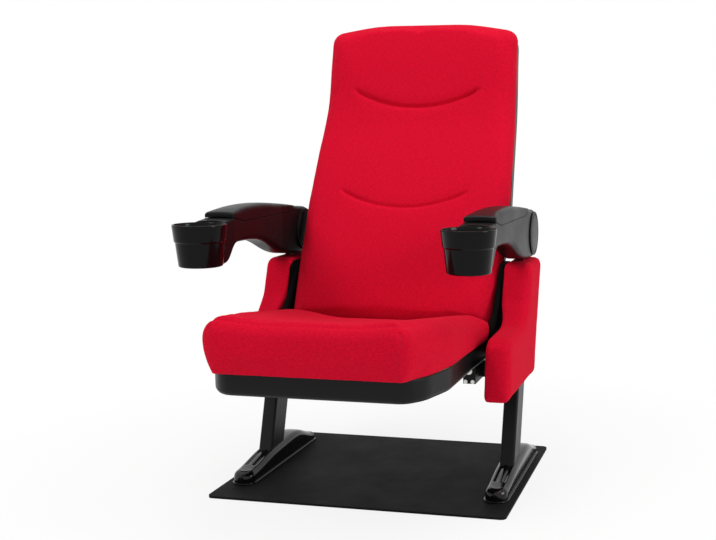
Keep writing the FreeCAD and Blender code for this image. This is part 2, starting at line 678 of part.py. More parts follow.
def seat_bolts():
    """Bolts that hold the tray to the side arms, heads below the tray."""
    bolts = []
    for number, y in enumerate(seat_bolt_spots()):
        shank = rod(f"seat_shank_{number}", "z", "bolt_radius", "pan_wall + sill_thick",
                    (SEAT_BOLT_X, y, "pan_low_z"))
        head = rod(f"seat_head_{number}", "z", "bolt_head", "bolt_head_high",
                   (SEAT_BOLT_X, y, "pan_low_z - bolt_head_high"))
        bolts.append(fuse(f"seat_bolt_{number}", shank, head))
    right = group("seat_bolts_right", *bolts)
    return group("seat_bolts", right, mirrored("seat_bolts_left", right))


def side_arm():
    """The steel arm that carries tray and back and turns on the hinge pin."""
    start = f"{SIDE_ARM_OUTER} - side_arm_thick"
    web = prism("arm_web", "YZ_Plane", [
        ("side_arm_front_y", PAN_FLOOR), ("hinge_y", PAN_FLOOR),
        ("hinge_y - side_arm_eye", "pan_high_z - board_thick"),
        ("side_arm_front_y", "pan_high_z - board_thick"),
    ], "side_arm_thick", start)
    eye = rod("arm_eye", "x", "side_arm_eye", "side_arm_thick", (start, "hinge_y", "hinge_z"))
    sill = block("arm_sill", ("sill_wide", "pan_rear_y - side_arm_front_y - sill_rear_gap", "sill_thick"),
                 (SILL_INNER, "side_arm_front_y", PAN_FLOOR))
    pin_hole = rod("arm_pin_hole", "x", "hinge_pin_radius", "side_arm_thick + 2",
                   (f"{start} - 1", "hinge_y", "hinge_z"))
    holes = [
        rod(f"sill_hole_{number}", "z", "bolt_radius", "3 * sill_thick",
            (SEAT_BOLT_X, y, f"{PAN_FLOOR} - sill_thick"))
        for number, y in enumerate(seat_bolt_spots())
    ]
    return cut("side_arm_right", fuse("side_arm_blank", web, eye, sill), pin_hole, *holes)


def ring_of(points):
    """A closed wire from points, where each triple after the first point is an arc."""
    edges = []
    here = points[0]
    for step in points[1:] + [points[0]]:
        if isinstance(step, tuple):
            edges.append(Part.Arc(here, step[0], step[1]).toShape())
            here = step[1]
        elif (step - here).Length > 1e-7:
            edges.append(Part.makeLine(here, step))
            here = step
    return Part.Wire(edges)


def cushion_section(y, inset):
    """One slice of the seat cushion: flat bottom, full sides, two bolsters and a dished top."""
    front, rear = size("cushion_front_y"), size("cushion_rear_y")
    along = (y - front) / (rear - front)
    half = size("pan_half_front") + 40 + (size("pan_half_rear") + 4 - size("pan_half_front") - 40) \
        * math.sin(min(1, along * 1.9) * math.pi / 2)
    top = size("cushion_front_z") - (y - front) * math.tan(math.radians(size("cushion_slope")))
    dish = size("seat_dish") + size("seat_dish_rear") * along
    low = size("pan_high_z") + size("seat_gap") + inset * 0.45
    bulge, bolster = size("cushion_bulge"), size("bolster_inset")
    half -= inset
    top -= inset * 0.8
    middle = low + (top - low) * 0.52

    def at(x, z):
        return Vector(x, y, z)
    return ring_of([
        at(-half + bulge, low), at(half - bulge, low),
        (at(half, middle), at(half - bolster, top)),
        (at(0, top - dish), at(bolster - half, top)),
        (at(-half, middle), at(-half + bulge, low)),
    ])


def seat_cushion():
    """The seat's soft cushion, lofted from front to rear through its slices."""
    front, rear = size("cushion_front_y"), size("cushion_rear_y")
    stations = [
        (front, 34), (front + 5, 20), (front + 14, 9), (front + 32, 2), (front + 70, 0),
        (front + 170, 0), (front + 300, 0), (rear - 50, 0), (rear - 16, 2), (rear - 5, 7),
        (rear, 14),
    ]
    return feature("seat_cushion",
                   Part.makeLoft([cushion_section(y, inset) for y, inset in stations], True))


def back_y(z):
    """The back's leaning line: straight, a gentle bend, then steeper to the top."""
    start, end = (size("back_bend_z") + side * size("back_bend_long") / 2 for side in (-1, 1))
    low, high = (math.tan(math.radians(size(name))) for name in ("back_lean", "back_top_lean"))
    y = size("back_foot_y") + (min(z, start) - size("hinge_z")) * low
    if z > start:
        part = min(z, end) - start
        y += part * low - (low - high) * part ** 2 / (2 * (end - start))
    return y + max(0, z - end) * high


def back_half(z):
    """Half the back's width: narrower at the foot and towards the head."""
    wide, wide_z = size("back_half_wide"), size("back_wide_z")
    if z < wide_z:
        part = (wide_z - z) / (wide_z - size("back_low_z"))
        return wide - (wide - size("back_half_low")) * part ** 2
    part = (z - wide_z) / (size("back_top_z") - wide_z)
    return wide - (wide - size("back_half_top")) * math.sin(part * math.pi / 2)


def back_levels(low, top):
    """Heights from low to top that follow the back's line: few where it is straight, more in its bend."""
    start, end = (size("back_bend_z") + side * size("back_bend_long") / 2 for side in (-1, 1))
    wide = size("back_wide_z")
    bend = [start + (end - start) * part / 6 for part in range(7)]
    between = [(low + wide) / 2, wide, (wide + start) / 2, *bend, (end + top) / 2]
    return [low, *[z for z in between if low + 5 < z < top - 5], top]


def back_slice(z, side_inset, depth_inset):
    """One level slice of the back cushion: crowned front, round sides, flat rear."""
    half = back_half(z) - side_inset
    middle = back_y(z)
    front = middle - size("back_front") + depth_inset
    rear = middle + size("back_rear") + 2 - depth_inset * 0.4
    side, crown = size("back_side_round"), size("back_crown")

    def at(x, y):
        return Vector(x, y, z)
    return ring_of([
        at(8 - half, rear), at(half - 8, rear),
        (at(half, middle), at(half - side, front + crown)),
        (at(0, front), at(side - half, front + crown)),
        (at(-half, middle), at(8 - half, rear)),
    ])


def channel(name, low_z):
    """A curved sewn channel: an arc of round groove that lies in the back's front face."""
    radius = size("channel_radius")
    angle = size("channel_half_angle")
    high_z = low_z + radius * (1 - math.cos(math.radians(angle)))
    up = Vector(0, back_y(high_z) - back_y(low_z), high_z - low_z).normalize()
    out = Vector(0, -up.z, up.y)
    start = Rotation(out, -angle).multVec(up * -1)
    low_point = Vector(0, back_y(low_z) - size("back_front"), low_z)
    groove = DOC.addObject("Part::Torus", name)
    groove.Placement = Placement(low_point + up * radius,
                                 Rotation(start, out.cross(start), out, "ZXY"))
    bind(groove, Radius1="channel_radius", Radius2="channel_tube", Angle3="2 * channel_half_angle")
    return groove


def back_cushion():
    """The back's soft cushion with its two smiling channels."""
    low, top = size("back_low_z"), size("back_top_z")
    head = size("head_round")
    stations = [(low, 12, 16), (low + 5, 5, 8), (low + 16, 1, 2)]
    stations += [(z, 0, 0) for z in back_levels(low + 40, top - head)]
    for turn in (25, 45, 62, 76, 84):
        rise, draw = 1 - math.sin(math.radians(turn)), 1 - math.cos(math.radians(turn))
        stations.append((top - head * rise, size("head_shoulder") * draw, head * 0.8 * draw))
    form = feature("cushion_form", Part.makeLoft([back_slice(*spot) for spot in stations], True))
    return cut("back_cushion", form, behind_back("cushion_rear_room"),
               channel("upper_channel", size("upper_channel_z")),
               channel("lower_channel", size("lower_channel_z")))


def panel_slice(z, inset, front, rear, corner):
    """A level slice of the back's board or shell between two distances behind its line."""
    half = back_half(z) - inset
    y = back_y(z)
    cut_off = corner * (1 - math.sqrt(0.5))

    def at(x, depth):
        return Vector(x, y + depth, z)
    return ring_of([
        at(-half, front), at(half, front), at(half, rear - corner),
        (at(half - cut_off, rear - cut_off), at(half - corner, rear)), at(corner - half, rear),
        (at(cut_off - half, rear - cut_off), at(-half, rear - corner)),
    ])


def panel_loft(low, top, inset, front, rear, corner, shoulder):
    """A leaning panel ruled through level slices, with shoulders drawn in at its top."""
    stations = [(z, inset) for z in back_levels(low, top - shoulder)]
    for turn in (18, 36, 54, 70, 82):
        angle = math.radians(turn)
        stations.append((top - shoulder * (1 - math.sin(angle)),
                         inset + shoulder * (1 - math.cos(angle))))
    slices = [panel_slice(z, drawn, front, rear, corner) for z, drawn in stations]
    return Part.makeLoft(slices, True, True)


def behind_back(name):
    """All the room behind the back cushion's flat rear, on the same levels as board and shell."""
    front = size("back_rear")
    levels = back_levels(size("back_low_z") - 20, size("back_top_z") + 40)
    slices = [panel_slice(z, -20, front, front + size("shell_deep"), 2) for z in levels]
    return feature(name, Part.makeLoft(slices, True, True))


def bar_line(z, shift):
    """Expression for y on a back bar, behind the back's straight lower line."""
    return f"(back_foot_y + (({z}) - hinge_z) * tan(back_lean) + {shift})"


BAR_FRONT = "back_rear + back_board_thick + 2 * seat_gap"
BAR_INNER = f"{SIDE_ARM_OUTER} - side_arm_thick - bar_wide"


def bar_form(name, low, gap):
    """One back bar's leaning form, from a low height up, grown by a gap."""
    front, rear = f"{BAR_FRONT} - {gap}", f"{BAR_FRONT} + bar_deep + {gap}"
    return prism(name, "YZ_Plane", [
        (bar_line(low, front), low), (bar_line(low, rear), low),
        (bar_line("bar_top_z", rear), "bar_top_z"), (bar_line("bar_top_z", front), "bar_top_z"),
    ], f"bar_wide + 2 * {gap}", f"{BAR_INNER} - {gap}")


def back_screw_rods(name, radius, long, start):
    """Rods along Y at the heights of the screws that join a bar to the back board."""
    return [
        rod(f"{name}_{number}", "y", radius, long,
            (f"{BAR_INNER} + bar_wide / 2", bar_line(z, start), z))
        for number, z in enumerate(("back_low_z + 64", "(back_low_z + bar_top_z) / 2",
                                    "bar_top_z - 40"))
    ]


def back_pieces():
    """The back's board, black moulded shell, steel bars and screws."""
    low, top = size("back_low_z"), size("back_top_z")
    gap, wall = size("seat_gap"), size("shell_wall")
    front = size("back_rear") + gap
    rear = front + size("shell_deep")
    inset = size("shell_inset")
    outer = feature("shell_outer", panel_loft(low, top - 8, inset, front, rear, 22, 30))
    inner = feature("shell_inner", panel_loft(low + wall, top - 8 - wall, inset + wall, front - 5,
                                              rear - wall, 18, 28))
    bars = bar_form("bar_right_form", "bar_low_z", "0")
    bar_rooms = [bar_form("bar_room_right", "bar_low_z", "seat_gap")]
    bar_rooms.append(mirrored("bar_room_left", bar_rooms[0]))
    shell = cut("back_shell", outer, inner, *bar_rooms)
    board_form = feature("board_form", panel_loft(
        low + wall + gap, top - 8 - wall - gap, size("back_board_inset"), front,
        front + size("back_board_thick"), 2, 28))
    drills = back_screw_rods("board_drill", "bolt_radius", "bar_deep + back_board_thick",
                             f"{BAR_FRONT} - back_board_thick")
    board = cut("back_board", board_form, *drills, *[
        mirrored(f"board_drill_left_{number}", drill) for number, drill in enumerate(drills)])
    bar = cut("back_bar_right", bars, *back_screw_rods(
        "bar_drill", "bolt_radius", "3 * bar_deep", f"{BAR_FRONT} - bar_deep"))
    shanks = back_screw_rods("screw_shank", "bolt_radius",
                             "bar_deep + back_board_thick + screw_lift - bolt_radius",
                             f"{BAR_FRONT} - back_board_thick + bolt_radius")
    heads = back_screw_rods("screw_head", "bolt_head", "bolt_head_high",
                            f"{BAR_FRONT} + bar_deep + screw_lift")
    screws = group("back_screws_right", *[
        fuse(f"back_screw_{number}", shank, head)
        for number, (shank, head) in enumerate(zip(shanks, heads))])
    return shell, board, bar, group("back_screws", screws, mirrored("back_screws_left", screws))


def arm_form():
    """The whole arm: crowned top, round hub, arched underside, and a tapering inner side."""
    x = size("arm_inner_front") - 5
    pivot_y, pivot_z, hub = solve(PIVOT_Y), size("pivot_z"), size("hub_radius")

    def at(y, z):
        return Vector(x, y, z)

    def on_hub(turn, reach=1.0):
        angle = math.radians(turn)
        return at(pivot_y + hub * reach * math.cos(angle), pivot_z + hub * reach * math.sin(angle))
    arch_y, arch_z = size("arch_y"), size("arch_z")
    ledge_front = at(size("cup_y") + size("cup_body_radius") - 12, size("cup_rim_z") + 1)
    neck = at(size("cup_y") + size("cup_body_radius") - 12, size("neck_z") - 2)
    side = ring_of([
        at(size("arm_lip_y"), size("arm_lip_z")),
        (at(size("arm_peak_y"), size("arm_peak_z")), on_hub(84)),
        (on_hub(0), on_hub(262)),
        at(size("arch_rear_y"), size("arch_rear_z")),
        (at(size("arch_fall_y"), size("arch_fall_z")), at(arch_y, arch_z)),
        (at((arch_y + size("arch_front_y")) / 2 - 14, arch_z - 3.5),
         at(size("arch_front_y") - 10, size("arch_front_z") - 8)),
        at(size("neck_y"), size("neck_z")), neck, ledge_front,
        at(size("arm_lip_y"), size("ledge_z")),
    ])
    wide = size("arm_outer") - x
    blank = Part.Face(side).extrude(Vector(wide, 0, 0))
    outer, rear_inner, front_inner = (size(name) for name in
                                      ("arm_outer", "arm_inner_rear", "arm_inner_front"))
    far, near = pivot_y + 2 * hub, size("cup_y")
    plan = Part.makePolygon([Vector(u, v, 400) for u, v in (
        (front_inner, near), (outer, near), (outer, far), (rear_inner, far),
        (rear_inner, size("arm_taper_y")), (front_inner, size("arm_lip_y")), (front_inner, near))])
    return blank.common(Part.Face(plan).extrude(Vector(0, 0, 300)))


def seam_prism(name, gap):
    """The room above the seam line, which parts the arm's cover from its body."""
    return prism(name, "YZ_Plane", [
        ("arm_lip_y - 30", f"ledge_z - {gap}"), ("arm_lip_y + 12", f"ledge_z - {gap}"),
        ("arm_lip_y + 50", f"seam_z - {gap}"), (f"seam_rear_y + {gap}", f"seam_z - {gap}"),
        (f"seam_top_y + {gap}", "arm_peak_z + 20"), ("arm_lip_y - 30", "arm_peak_z + 20"),
    ], "post_gauge", "panel_inner - 60")


def polar(radius, turn):
    """Expressions for a point round the pivot at an angle measured from +Y towards +Z."""
    return (f"({PIVOT_Y} + ({radius}) * cos({turn}))", f"(pivot_z + ({radius}) * sin({turn}))")


def lug_room():
    """The slot the upright needs inside the hub over the arm's whole swing."""
    start = "(270 - post_lean)"
    end = f"({start} + arm_swing)"
    front = "lug_eye_radius * cos(post_lean) + seat_gap"
    rear = "lug_eye_radius + swing_gap"
    reach = "hub_radius + 40"

    def beside(turn, shift, out):
        y, z = polar(out, turn)
        return (f"{y} + ({shift}) * cos({turn} + 90)", f"{z} + ({shift}) * sin({turn} + 90)")
    corners = [
        beside(start, f"-({front})", "0"), beside(start, f"-({front})", reach),
        polar("2 * hub_radius", f"({start} + arm_swing / 2)"),
        beside(end, rear, reach), beside(end, rear, "0"),
    ]
    wide = "lug_thick + 2 * swing_gap"
    low = "post_gauge - lug_thick / 2 - swing_gap"
    sector = prism("lug_sector", "YZ_Plane", corners, wide, low)
    hollow = rod("lug_hollow", "x", "lug_eye_radius + swing_gap", wide, (low, PIVOT_Y, "pivot_z"))
    return fuse("lug_room", sector, hollow)


def cup_profile(name, gap):
    """Revolve the cup's outer form, grown by a gap, about its upright axis."""
    body = DOC.addObject("PartDesign::Body", name)
    corners = [
        ("0", "cup_low_z"), (f"cup_low_radius - 3 + {gap}", "cup_low_z"),
        (f"cup_low_radius + {gap}", "cup_low_z + 3"), (f"cup_body_radius + {gap}", "cup_step_z"),
        (f"cup_step_radius + {gap}", "cup_step_z + 1.5"), (f"cup_rim_radius + {gap}", "cup_rim_z - 1"),
        (f"cup_rim_radius - 1 + {gap}", "cup_rim_z"), ("0", "cup_rim_z"),
    ]
    return turned(body, name, corners)


def turned(body, name, corners):
    """Finish a body as a full turn of an outline about the upright axis."""
    sketch = outline(body, name + "_outline", "XZ_Plane", corners)
    turn = body.newObject("PartDesign::Revolution", name + "_turn")
    turn.Profile = sketch
    turn.ReferenceAxis = (origin_plane(body, "Z_Axis"), [""])
    turn.Angle = 360
    return place(body, "cup_x", "cup_y", "0")


def cup_holder():
    """The cup: a stepped, tapering tumbler with an open well."""
    outer = cup_profile("cup_outer", "0")
    well = turned(DOC.addObject("PartDesign::Body", "cup_well"), "cup_well", [
        ("0", "cup_low_z + cup_wall"), ("cup_low_radius - cup_wall - 2", "cup_low_z + cup_wall"),
        ("cup_low_radius - cup_wall", "cup_low_z + cup_wall + 2"),
        ("cup_body_radius - cup_wall", "cup_step_z"), ("cup_rim_radius - cup_wall", "cup_rim_z + 1"),
        ("0", "cup_rim_z + 1"),
    ])
    return cut("cup_holder_right", outer, well)


def arm_pieces():
    """The arm's body, cover, discs and pivot pin."""
    form = feature("arm_form", arm_form())
    body_form = cut("arm_body_form", form, seam_prism("seam_below", "seat_gap"))
    pin_bore = rod("arm_bore", "x", "arm_pin_radius", "post_gauge",
                   ("arm_inner_rear - 10", PIVOT_Y, "pivot_z"))
    body = cut("arm_body_right", body_form, lug_room(), cup_profile("cup_room", "seat_gap"), pin_bore)
    cover = DOC.addObject("Part::Common", "arm_cover_right")
    cover.Base, cover.Tool = form, seam_prism("seam_above", "0")
    pin = rod("arm_pin_right", "x", "arm_pin_radius", "arm_outer - arm_inner_rear",
              ("arm_inner_rear", PIVOT_Y, "pivot_z"))
    discs = []
    for name, low, groove in (
            ("arm_disc_outer_right", "arm_outer", "arm_outer + disc_thick - disc_groove"),
            ("arm_disc_inner_right", "arm_inner_rear - disc_thick",
             "arm_inner_rear - disc_thick - 1")):
        disc = rod(name + "_blank", "x", "disc_radius", "disc_thick", (low, PIVOT_Y, "pivot_z"))
        ring = rod(name + "_ring", "x", "disc_radius - 7", "disc_groove + 1",
                   (groove, PIVOT_Y, "pivot_z"))
        core = rod(name + "_core", "x", "disc_radius - 10", "disc_groove + 3",
                   (f"{groove} - 1", PIVOT_Y, "pivot_z"))
        discs.append(cut(name, disc, cut(name + "_groove", ring, core)))
    return [body, cover, pin, *discs]


def build():
    """Make every piece and return the finished nodes by name."""
    single = [floor_plate(), cross_beam(), bracket_bolts(), stop_buffers(),
              side_bolts("beam_bolts", beam_bolt_spots()),
              side_bolts("housing_bolts", hinge_bolt_spots()), seat_bolts(), seat_cushion(),
              back_cushion()]
    paired = [foot_plate(), anchor_bolts(), foot_cover(), bolt_cap(), leg_post(), post_lug(),
              arm_bush(), stop_bracket(), side_arm(), cup_holder(), *panel_pieces(), *arm_pieces()]
    housing, rubber, pins = hinge_pieces()
    paired += [housing, rubber]
    shell, board, bar, screws = back_pieces()
    paired.append(bar)
    single += [pins, *seat_pieces(), shell, board, screws]
    nodes = {piece.Name: piece for piece in single + paired}
    for piece in paired:
        name = piece.Name.replace("_right", "_left")
        nodes[name] = mirrored(name, piece)
    return nodes


def check(nodes):
    """Stop if an object failed or a node's shape is not sound."""
    DOC.recompute()
    for thing in DOC.Objects:
        if {"Invalid", "Error"} & set(thing.State):
            raise RuntimeError(f"{thing.Label} failed: {thing.State}")
    for name, piece in nodes.items():
        piece.Label = name
        if piece.Shape.isNull() or not piece.Shape.isValid() or not piece.Shape.Solids:
            raise RuntimeError(f"{name} has no sound solid")


def main():
    nodes = build()
    check(nodes)
    os.makedirs("parts", exist_ok=True)
    for name, piece in nodes.items():
        piece.Shape.exportStep(f"parts/{name}.step")
        print(f"{name}: {len(piece.Shape.Solids)} solid(s), {piece.Shape.Volume / 1000:.1f} cm3")


main()
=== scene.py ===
"""Cinema recliner seat: upholstery, mouldings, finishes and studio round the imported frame.

Sizes in the dataclasses are millimetres in the part's own frame: the seat faces -Y, +Z is up, the
origin is the middle of the floor plate's underside, and right means +X.  Meshes are in metres.
"""
from __future__ import annotations

import json
import logging
import math
from dataclasses import dataclass, field
from enum import Enum

import bmesh
import bpy
import numpy as np
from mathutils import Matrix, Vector

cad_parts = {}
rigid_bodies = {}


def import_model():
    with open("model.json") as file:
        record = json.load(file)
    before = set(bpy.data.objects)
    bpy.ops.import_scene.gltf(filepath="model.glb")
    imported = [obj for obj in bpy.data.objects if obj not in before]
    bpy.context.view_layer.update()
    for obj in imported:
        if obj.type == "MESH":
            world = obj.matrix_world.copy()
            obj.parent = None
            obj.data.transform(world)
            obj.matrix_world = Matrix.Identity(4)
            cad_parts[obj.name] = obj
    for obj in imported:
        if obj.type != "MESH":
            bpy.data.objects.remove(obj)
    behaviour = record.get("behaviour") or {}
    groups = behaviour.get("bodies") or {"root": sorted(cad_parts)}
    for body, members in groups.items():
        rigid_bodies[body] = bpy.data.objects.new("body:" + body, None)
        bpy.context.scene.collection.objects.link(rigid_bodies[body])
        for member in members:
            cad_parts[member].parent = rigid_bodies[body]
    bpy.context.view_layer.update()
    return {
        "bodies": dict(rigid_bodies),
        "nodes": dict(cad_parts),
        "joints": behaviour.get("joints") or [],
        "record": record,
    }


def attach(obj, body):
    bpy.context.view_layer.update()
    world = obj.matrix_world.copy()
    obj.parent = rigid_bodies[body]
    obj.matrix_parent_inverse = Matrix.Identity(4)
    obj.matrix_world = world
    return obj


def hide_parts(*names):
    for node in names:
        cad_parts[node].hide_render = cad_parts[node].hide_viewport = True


MM = 0.001
LOG = logging.getLogger("cinema_seat")

Pair = tuple[float, float]
Triple = tuple[float, float, float]
Line = tuple[Pair, ...]
Corners = tuple[Triple, ...]
Colour = tuple[float, float, float]
Sockets = bpy.types.bpy_prop_collection
Socket = bpy.types.NodeSocket


class Side(Enum):
    """The two sides of the seat; the value is the sign of X."""

    RIGHT = 1
    LEFT = -1

    @property
    def word(self) -> str:
        """The side's name as the nodes spell it."""
        return self.name.lower()


class Body(Enum):
    """The bodies that move as one."""

    STAND = "stand"
    RECLINER = "recliner"
    RIGHT_ARM = "right_arm"
    LEFT_ARM = "left_arm"

    @classmethod
    def arm(cls, side: Side) -> "Body":
        """The lifting arm of a side."""
        return cls.RIGHT_ARM if side is Side.RIGHT else cls.LEFT_ARM


def spline(knots: np.ndarray, values: np.ndarray, at: np.ndarray) -> np.ndarray:
    """Natural cubic spline: second derivatives solve the tridiagonal system, ends are straight.

    Args:
        knots: rising abscissae.
        values: one value per knot.
        at: where the curve is read.

    Returns:
        The curve's values.
    """
    step = np.diff(knots)
    count = len(knots)
    system = np.eye(count)
    inner = np.arange(1, count - 1)
    system[inner, inner - 1] = step[:-1]
    system[inner, inner] = 2 * (step[:-1] + step[1:])
    system[inner, inner + 1] = step[1:]
    slope = np.diff(values) / step
    right = np.zeros(count)
    right[1:-1] = 6 * np.diff(slope)
    bend = np.linalg.solve(system, right)
    span = np.clip(np.searchsorted(knots, at) - 1, 0, count - 2)
    wide = step[span]
    a, b = (knots[span + 1] - at) / wide, (at - knots[span]) / wide
    return (a * values[span] + b * values[span + 1]
            + ((a ** 3 - a) * bend[span] + (b ** 3 - b) * bend[span + 1]) * wide ** 2 / 6)


def smooth(low: float, high: float, value: np.ndarray) -> np.ndarray:
    """Ease from 0 at low to 1 at high: 3t squared less 2t cubed."""
    part = np.clip((value - low) / (high - low), 0, 1)
    return part * part * (3 - 2 * part)


def filleted(corners: Corners, closed: bool, steps: int = 8) -> np.ndarray:
    """Round a polyline's corners with tangent arcs.

    Args:
        corners: u, v and radius of each corner.
        closed: whether the line returns to its start.
        steps: points on each arc.

    Returns:
        Points, one row each.
    """
    spots = np.array(corners, float)
    count, line = len(spots), []
    for index, (u, v, radius) in enumerate(spots):
        here = np.array([u, v])
        if radius <= 0 or (not closed and index in (0, count - 1)):
            line.append(here[None])
            continue
        back = spots[index - 1, :2] - here
        ahead = spots[(index + 1) % count, :2] - here
        back, ahead = back / np.linalg.norm(back), ahead / np.linalg.norm(ahead)
        half = math.acos(np.clip(back @ ahead, -1, 1)) / 2
        middle = (back + ahead) / np.linalg.norm(back + ahead)
        centre = here + middle * radius / math.sin(half)
        start = here + back * radius / math.tan(half) - centre
        end = here + ahead * radius / math.tan(half) - centre
        turn = math.atan2(start[0] * end[1] - start[1] * end[0], start @ end)
        angle = np.linspace(0, turn, steps)
        line.append(centre + np.stack([start[0] * np.cos(angle) - start[1] * np.sin(angle),
                                       start[0] * np.sin(angle) + start[1] * np.cos(angle)], 1))
    return np.concatenate(line)


def even(line: np.ndarray, count: int, closed: bool = True) -> np.ndarray:
    """Points evenly spaced by length along a line.

    Args:
        line: points, one row each.
        count: how many points to return.
        closed: whether the line returns to its start.

    Returns:
        The evenly spaced points.
    """
    path = np.vstack([line, line[:1]]) if closed else line
    run = np.concatenate([[0], np.cumsum(np.linalg.norm(np.diff(path, axis=0), axis=1))])
    at = np.linspace(0, run[-1], count, endpoint=not closed)
    return np.stack([np.interp(at, run, path[:, axis]) for axis in range(path.shape[1])], 1)


def inward(line: np.ndarray) -> np.ndarray:
    """Unit normals that point into an anticlockwise closed line."""
    along = np.roll(line, -1, 0) - np.roll(line, 1, 0)
    normal = np.stack([-along[:, 1], along[:, 0]], 1)
    return normal / np.linalg.norm(normal, axis=1, keepdims=True)


def read_off(line: Line, at: np.ndarray) -> np.ndarray:
    """The values of a line of places and values, straight between them and level beyond."""
    return np.interp(at, *np.array(line, float).T)


def quarter(edge: float, first: float, last: float, count: int) -> list[Pair]:
    """Inset and depth along a rounded rim: 0 degrees is at the wall, 90 is on the face."""
    return [(edge * (1 - math.cos(turn)), edge * (1 - math.sin(turn)))
            for turn in np.radians(np.linspace(first, last, count))]


def ringed(loop: np.ndarray, middle: Pair, axis: int,
           rows: list[Triple]) -> np.ndarray:
    """Rings of a closed flat outline: drawn in, scaled about a middle, each at its own level.

    Args:
        loop: the outline, anticlockwise.
        middle: the point that the rings are scaled about.
        axis: the axis that the levels lie on, 0 to 2.
        rows: scale, inset and level of each ring.

    Returns:
        Rings for skin().
    """
    within, centre = inward(loop), np.array(middle)
    return np.stack([np.insert(centre + (loop + within * inset - centre) * share, axis, level, 1)
                     for share, inset, level in rows])


def linked(name: str, data: bpy.types.ID) -> bpy.types.Object:
    """A new object of the scene that shows the given mesh, lamp or camera."""
    thing = bpy.data.objects.new(name, data)
    bpy.context.scene.collection.objects.link(thing)
    return thing


def new_piece(name: str, points: np.ndarray, faces: list) -> bpy.types.Object:
    """Link a mesh in metres from millimetre points, facing outwards and shaded smooth.

    Args:
        name: the piece's name.
        points: vertices in millimetres.
        faces: vertex numbers of each face.

    Returns:
        The linked object, at the origin.
    """
    mesh = bpy.data.meshes.new(name)
    mesh.from_pydata((points * MM).tolist(), [], faces)
    work = bmesh.new()
    work.from_mesh(mesh)
    bmesh.ops.remove_doubles(work, verts=work.verts, dist=1e-6)
    bmesh.ops.recalc_face_normals(work, faces=work.faces)
    work.to_mesh(mesh)
    work.free()
    mesh.polygons.foreach_set("use_smooth", np.ones(len(mesh.polygons), bool))
    return linked(name, mesh)


def skin(name: str, rings: np.ndarray) -> bpy.types.Object:
    """Skin closed rings of points and close both ends with a fan about the ring's middle.

    Args:
        name: the piece's name.
        rings: array of rings by points round by 3, in millimetres.

    Returns:
        The linked object.
    """
    count, around, _ = rings.shape
    row = np.arange(count - 1)[:, None] * around
    here = np.arange(around)
    after = (here + 1) % around
    quads = np.stack([row + here, row + after, row + around + after, row + around + here], -1)
    low, high, last = count * around, count * around + 1, (count - 1) * around
    first_fan = np.stack([np.full(around, low), after, here], -1)
    last_fan = np.stack([np.full(around, high), last + here, last + after], -1)
    points = np.vstack([rings.reshape(-1, 3), rings[0].mean(0), rings[-1].mean(0)])
    faces = quads.reshape(-1, 4).tolist() + first_fan.tolist() + last_fan.tolist()
    return new_piece(name, points, faces)


def turned(name: str, profile: np.ndarray, centre: Triple, axis: str,
           around: int = 96) -> bpy.types.Object:
    """Turn a profile of radius and height about an axis through a centre.

    Args:
        name: the piece's name.
        profile: rows of radius and height along the axis.
        centre: a point on the axis.
        axis: "z" for an upright axis, "x" for a level one.
        around: points round the axis.

    Returns:
        The linked object.
    """
    angle = np.linspace(0, 2 * math.pi, around, endpoint=False)
    across, up = profile[:, :1] * np.cos(angle), profile[:, :1] * np.sin(angle)
    along = np.repeat(profile[:, 1:], around, 1)
    parts = (across, up, along) if axis == "z" else (along, across, up)
    return skin(name, np.stack(parts, -1) + np.array(centre))


def rounded_sections(low_x: np.ndarray, high_x: np.ndarray, low_z: np.ndarray, high_z: np.ndarray,
                     y: np.ndarray, low_round: np.ndarray, high_round: np.ndarray,
                     crown: float) -> np.ndarray:
    """Rounded rectangles along Y: four arcs each, with a parabola's crown on the top side.

    Args:
        low_x: inner side of each section.
        high_x: outer side of each section.
        low_z: underside of each section.
        high_z: top side of each section.
        y: place of each section.
        low_round: corner radius of each section's underside.
        high_round: corner radius of each section's top side.
        crown: height of the crown at the middle.

    Returns:
        Rings for skin().
    """
    tall, wide = high_z - low_z, high_x - low_x
    limit = 0.48 * np.minimum(tall, wide)
    arcs = []
    for start, at_x, at_z, radius in (
            (0, high_x, high_z, high_round), (90, low_x, high_z, high_round),
            (180, low_x, low_z, low_round), (270, high_x, low_z, low_round)):
        angle = np.radians(start + np.linspace(0, 90, 9))
        used = np.minimum(radius, limit)[:, None]
        centre_x = at_x[:, None] - used * np.sign(np.cos(math.radians(start + 45)))
        centre_z = at_z[:, None] - used * np.sign(np.sin(math.radians(start + 45)))
        arcs.append(np.stack([centre_x + used * np.cos(angle),
                              centre_z + used * np.sin(angle)], -1))
    sides = []
    for index, arc in enumerate(arcs):
        sides.append(arc)
        following = arcs[(index + 1) % 4]
        part = np.linspace(0, 1, 10)[None, 1:-1, None]
        sides.append(arc[:, -1:] * (1 - part) + following[:, :1] * part)
    ring = np.concatenate(sides, 1)
    middle_x = ((low_x + high_x) / 2)[:, None]
    middle_z = ((low_z + high_z) / 2)[:, None]
    across = (ring[..., 0] - middle_x) / (wide[:, None] / 2)
    upper = np.clip((ring[..., 1] - middle_z) / (tall[:, None] / 2), 0, 1)
    lift = crown * (1 - across ** 2) * upper
    along = np.repeat(y[:, None], ring.shape[1], 1)
    return np.stack([ring[..., 0], along, ring[..., 1] + lift], -1)


def end_draw(y: np.ndarray, end: float, radius: float) -> np.ndarray:
    """How far a section draws in beside a rounded end: a quarter circle of the given radius."""
    near = np.clip(radius - np.abs(y - end), 0, radius)
    return radius - np.sqrt(radius ** 2 - near ** 2)


def gathered(items: bpy.types.bpy_prop_collection, name: str, width: int = 1,
             kind: type = float) -> np.ndarray:
    """One property of every item of a mesh, a row each."""
    values = np.empty(len(items) * width, kind)
    items.foreach_get(name, values)
    return values.reshape(-1, width)


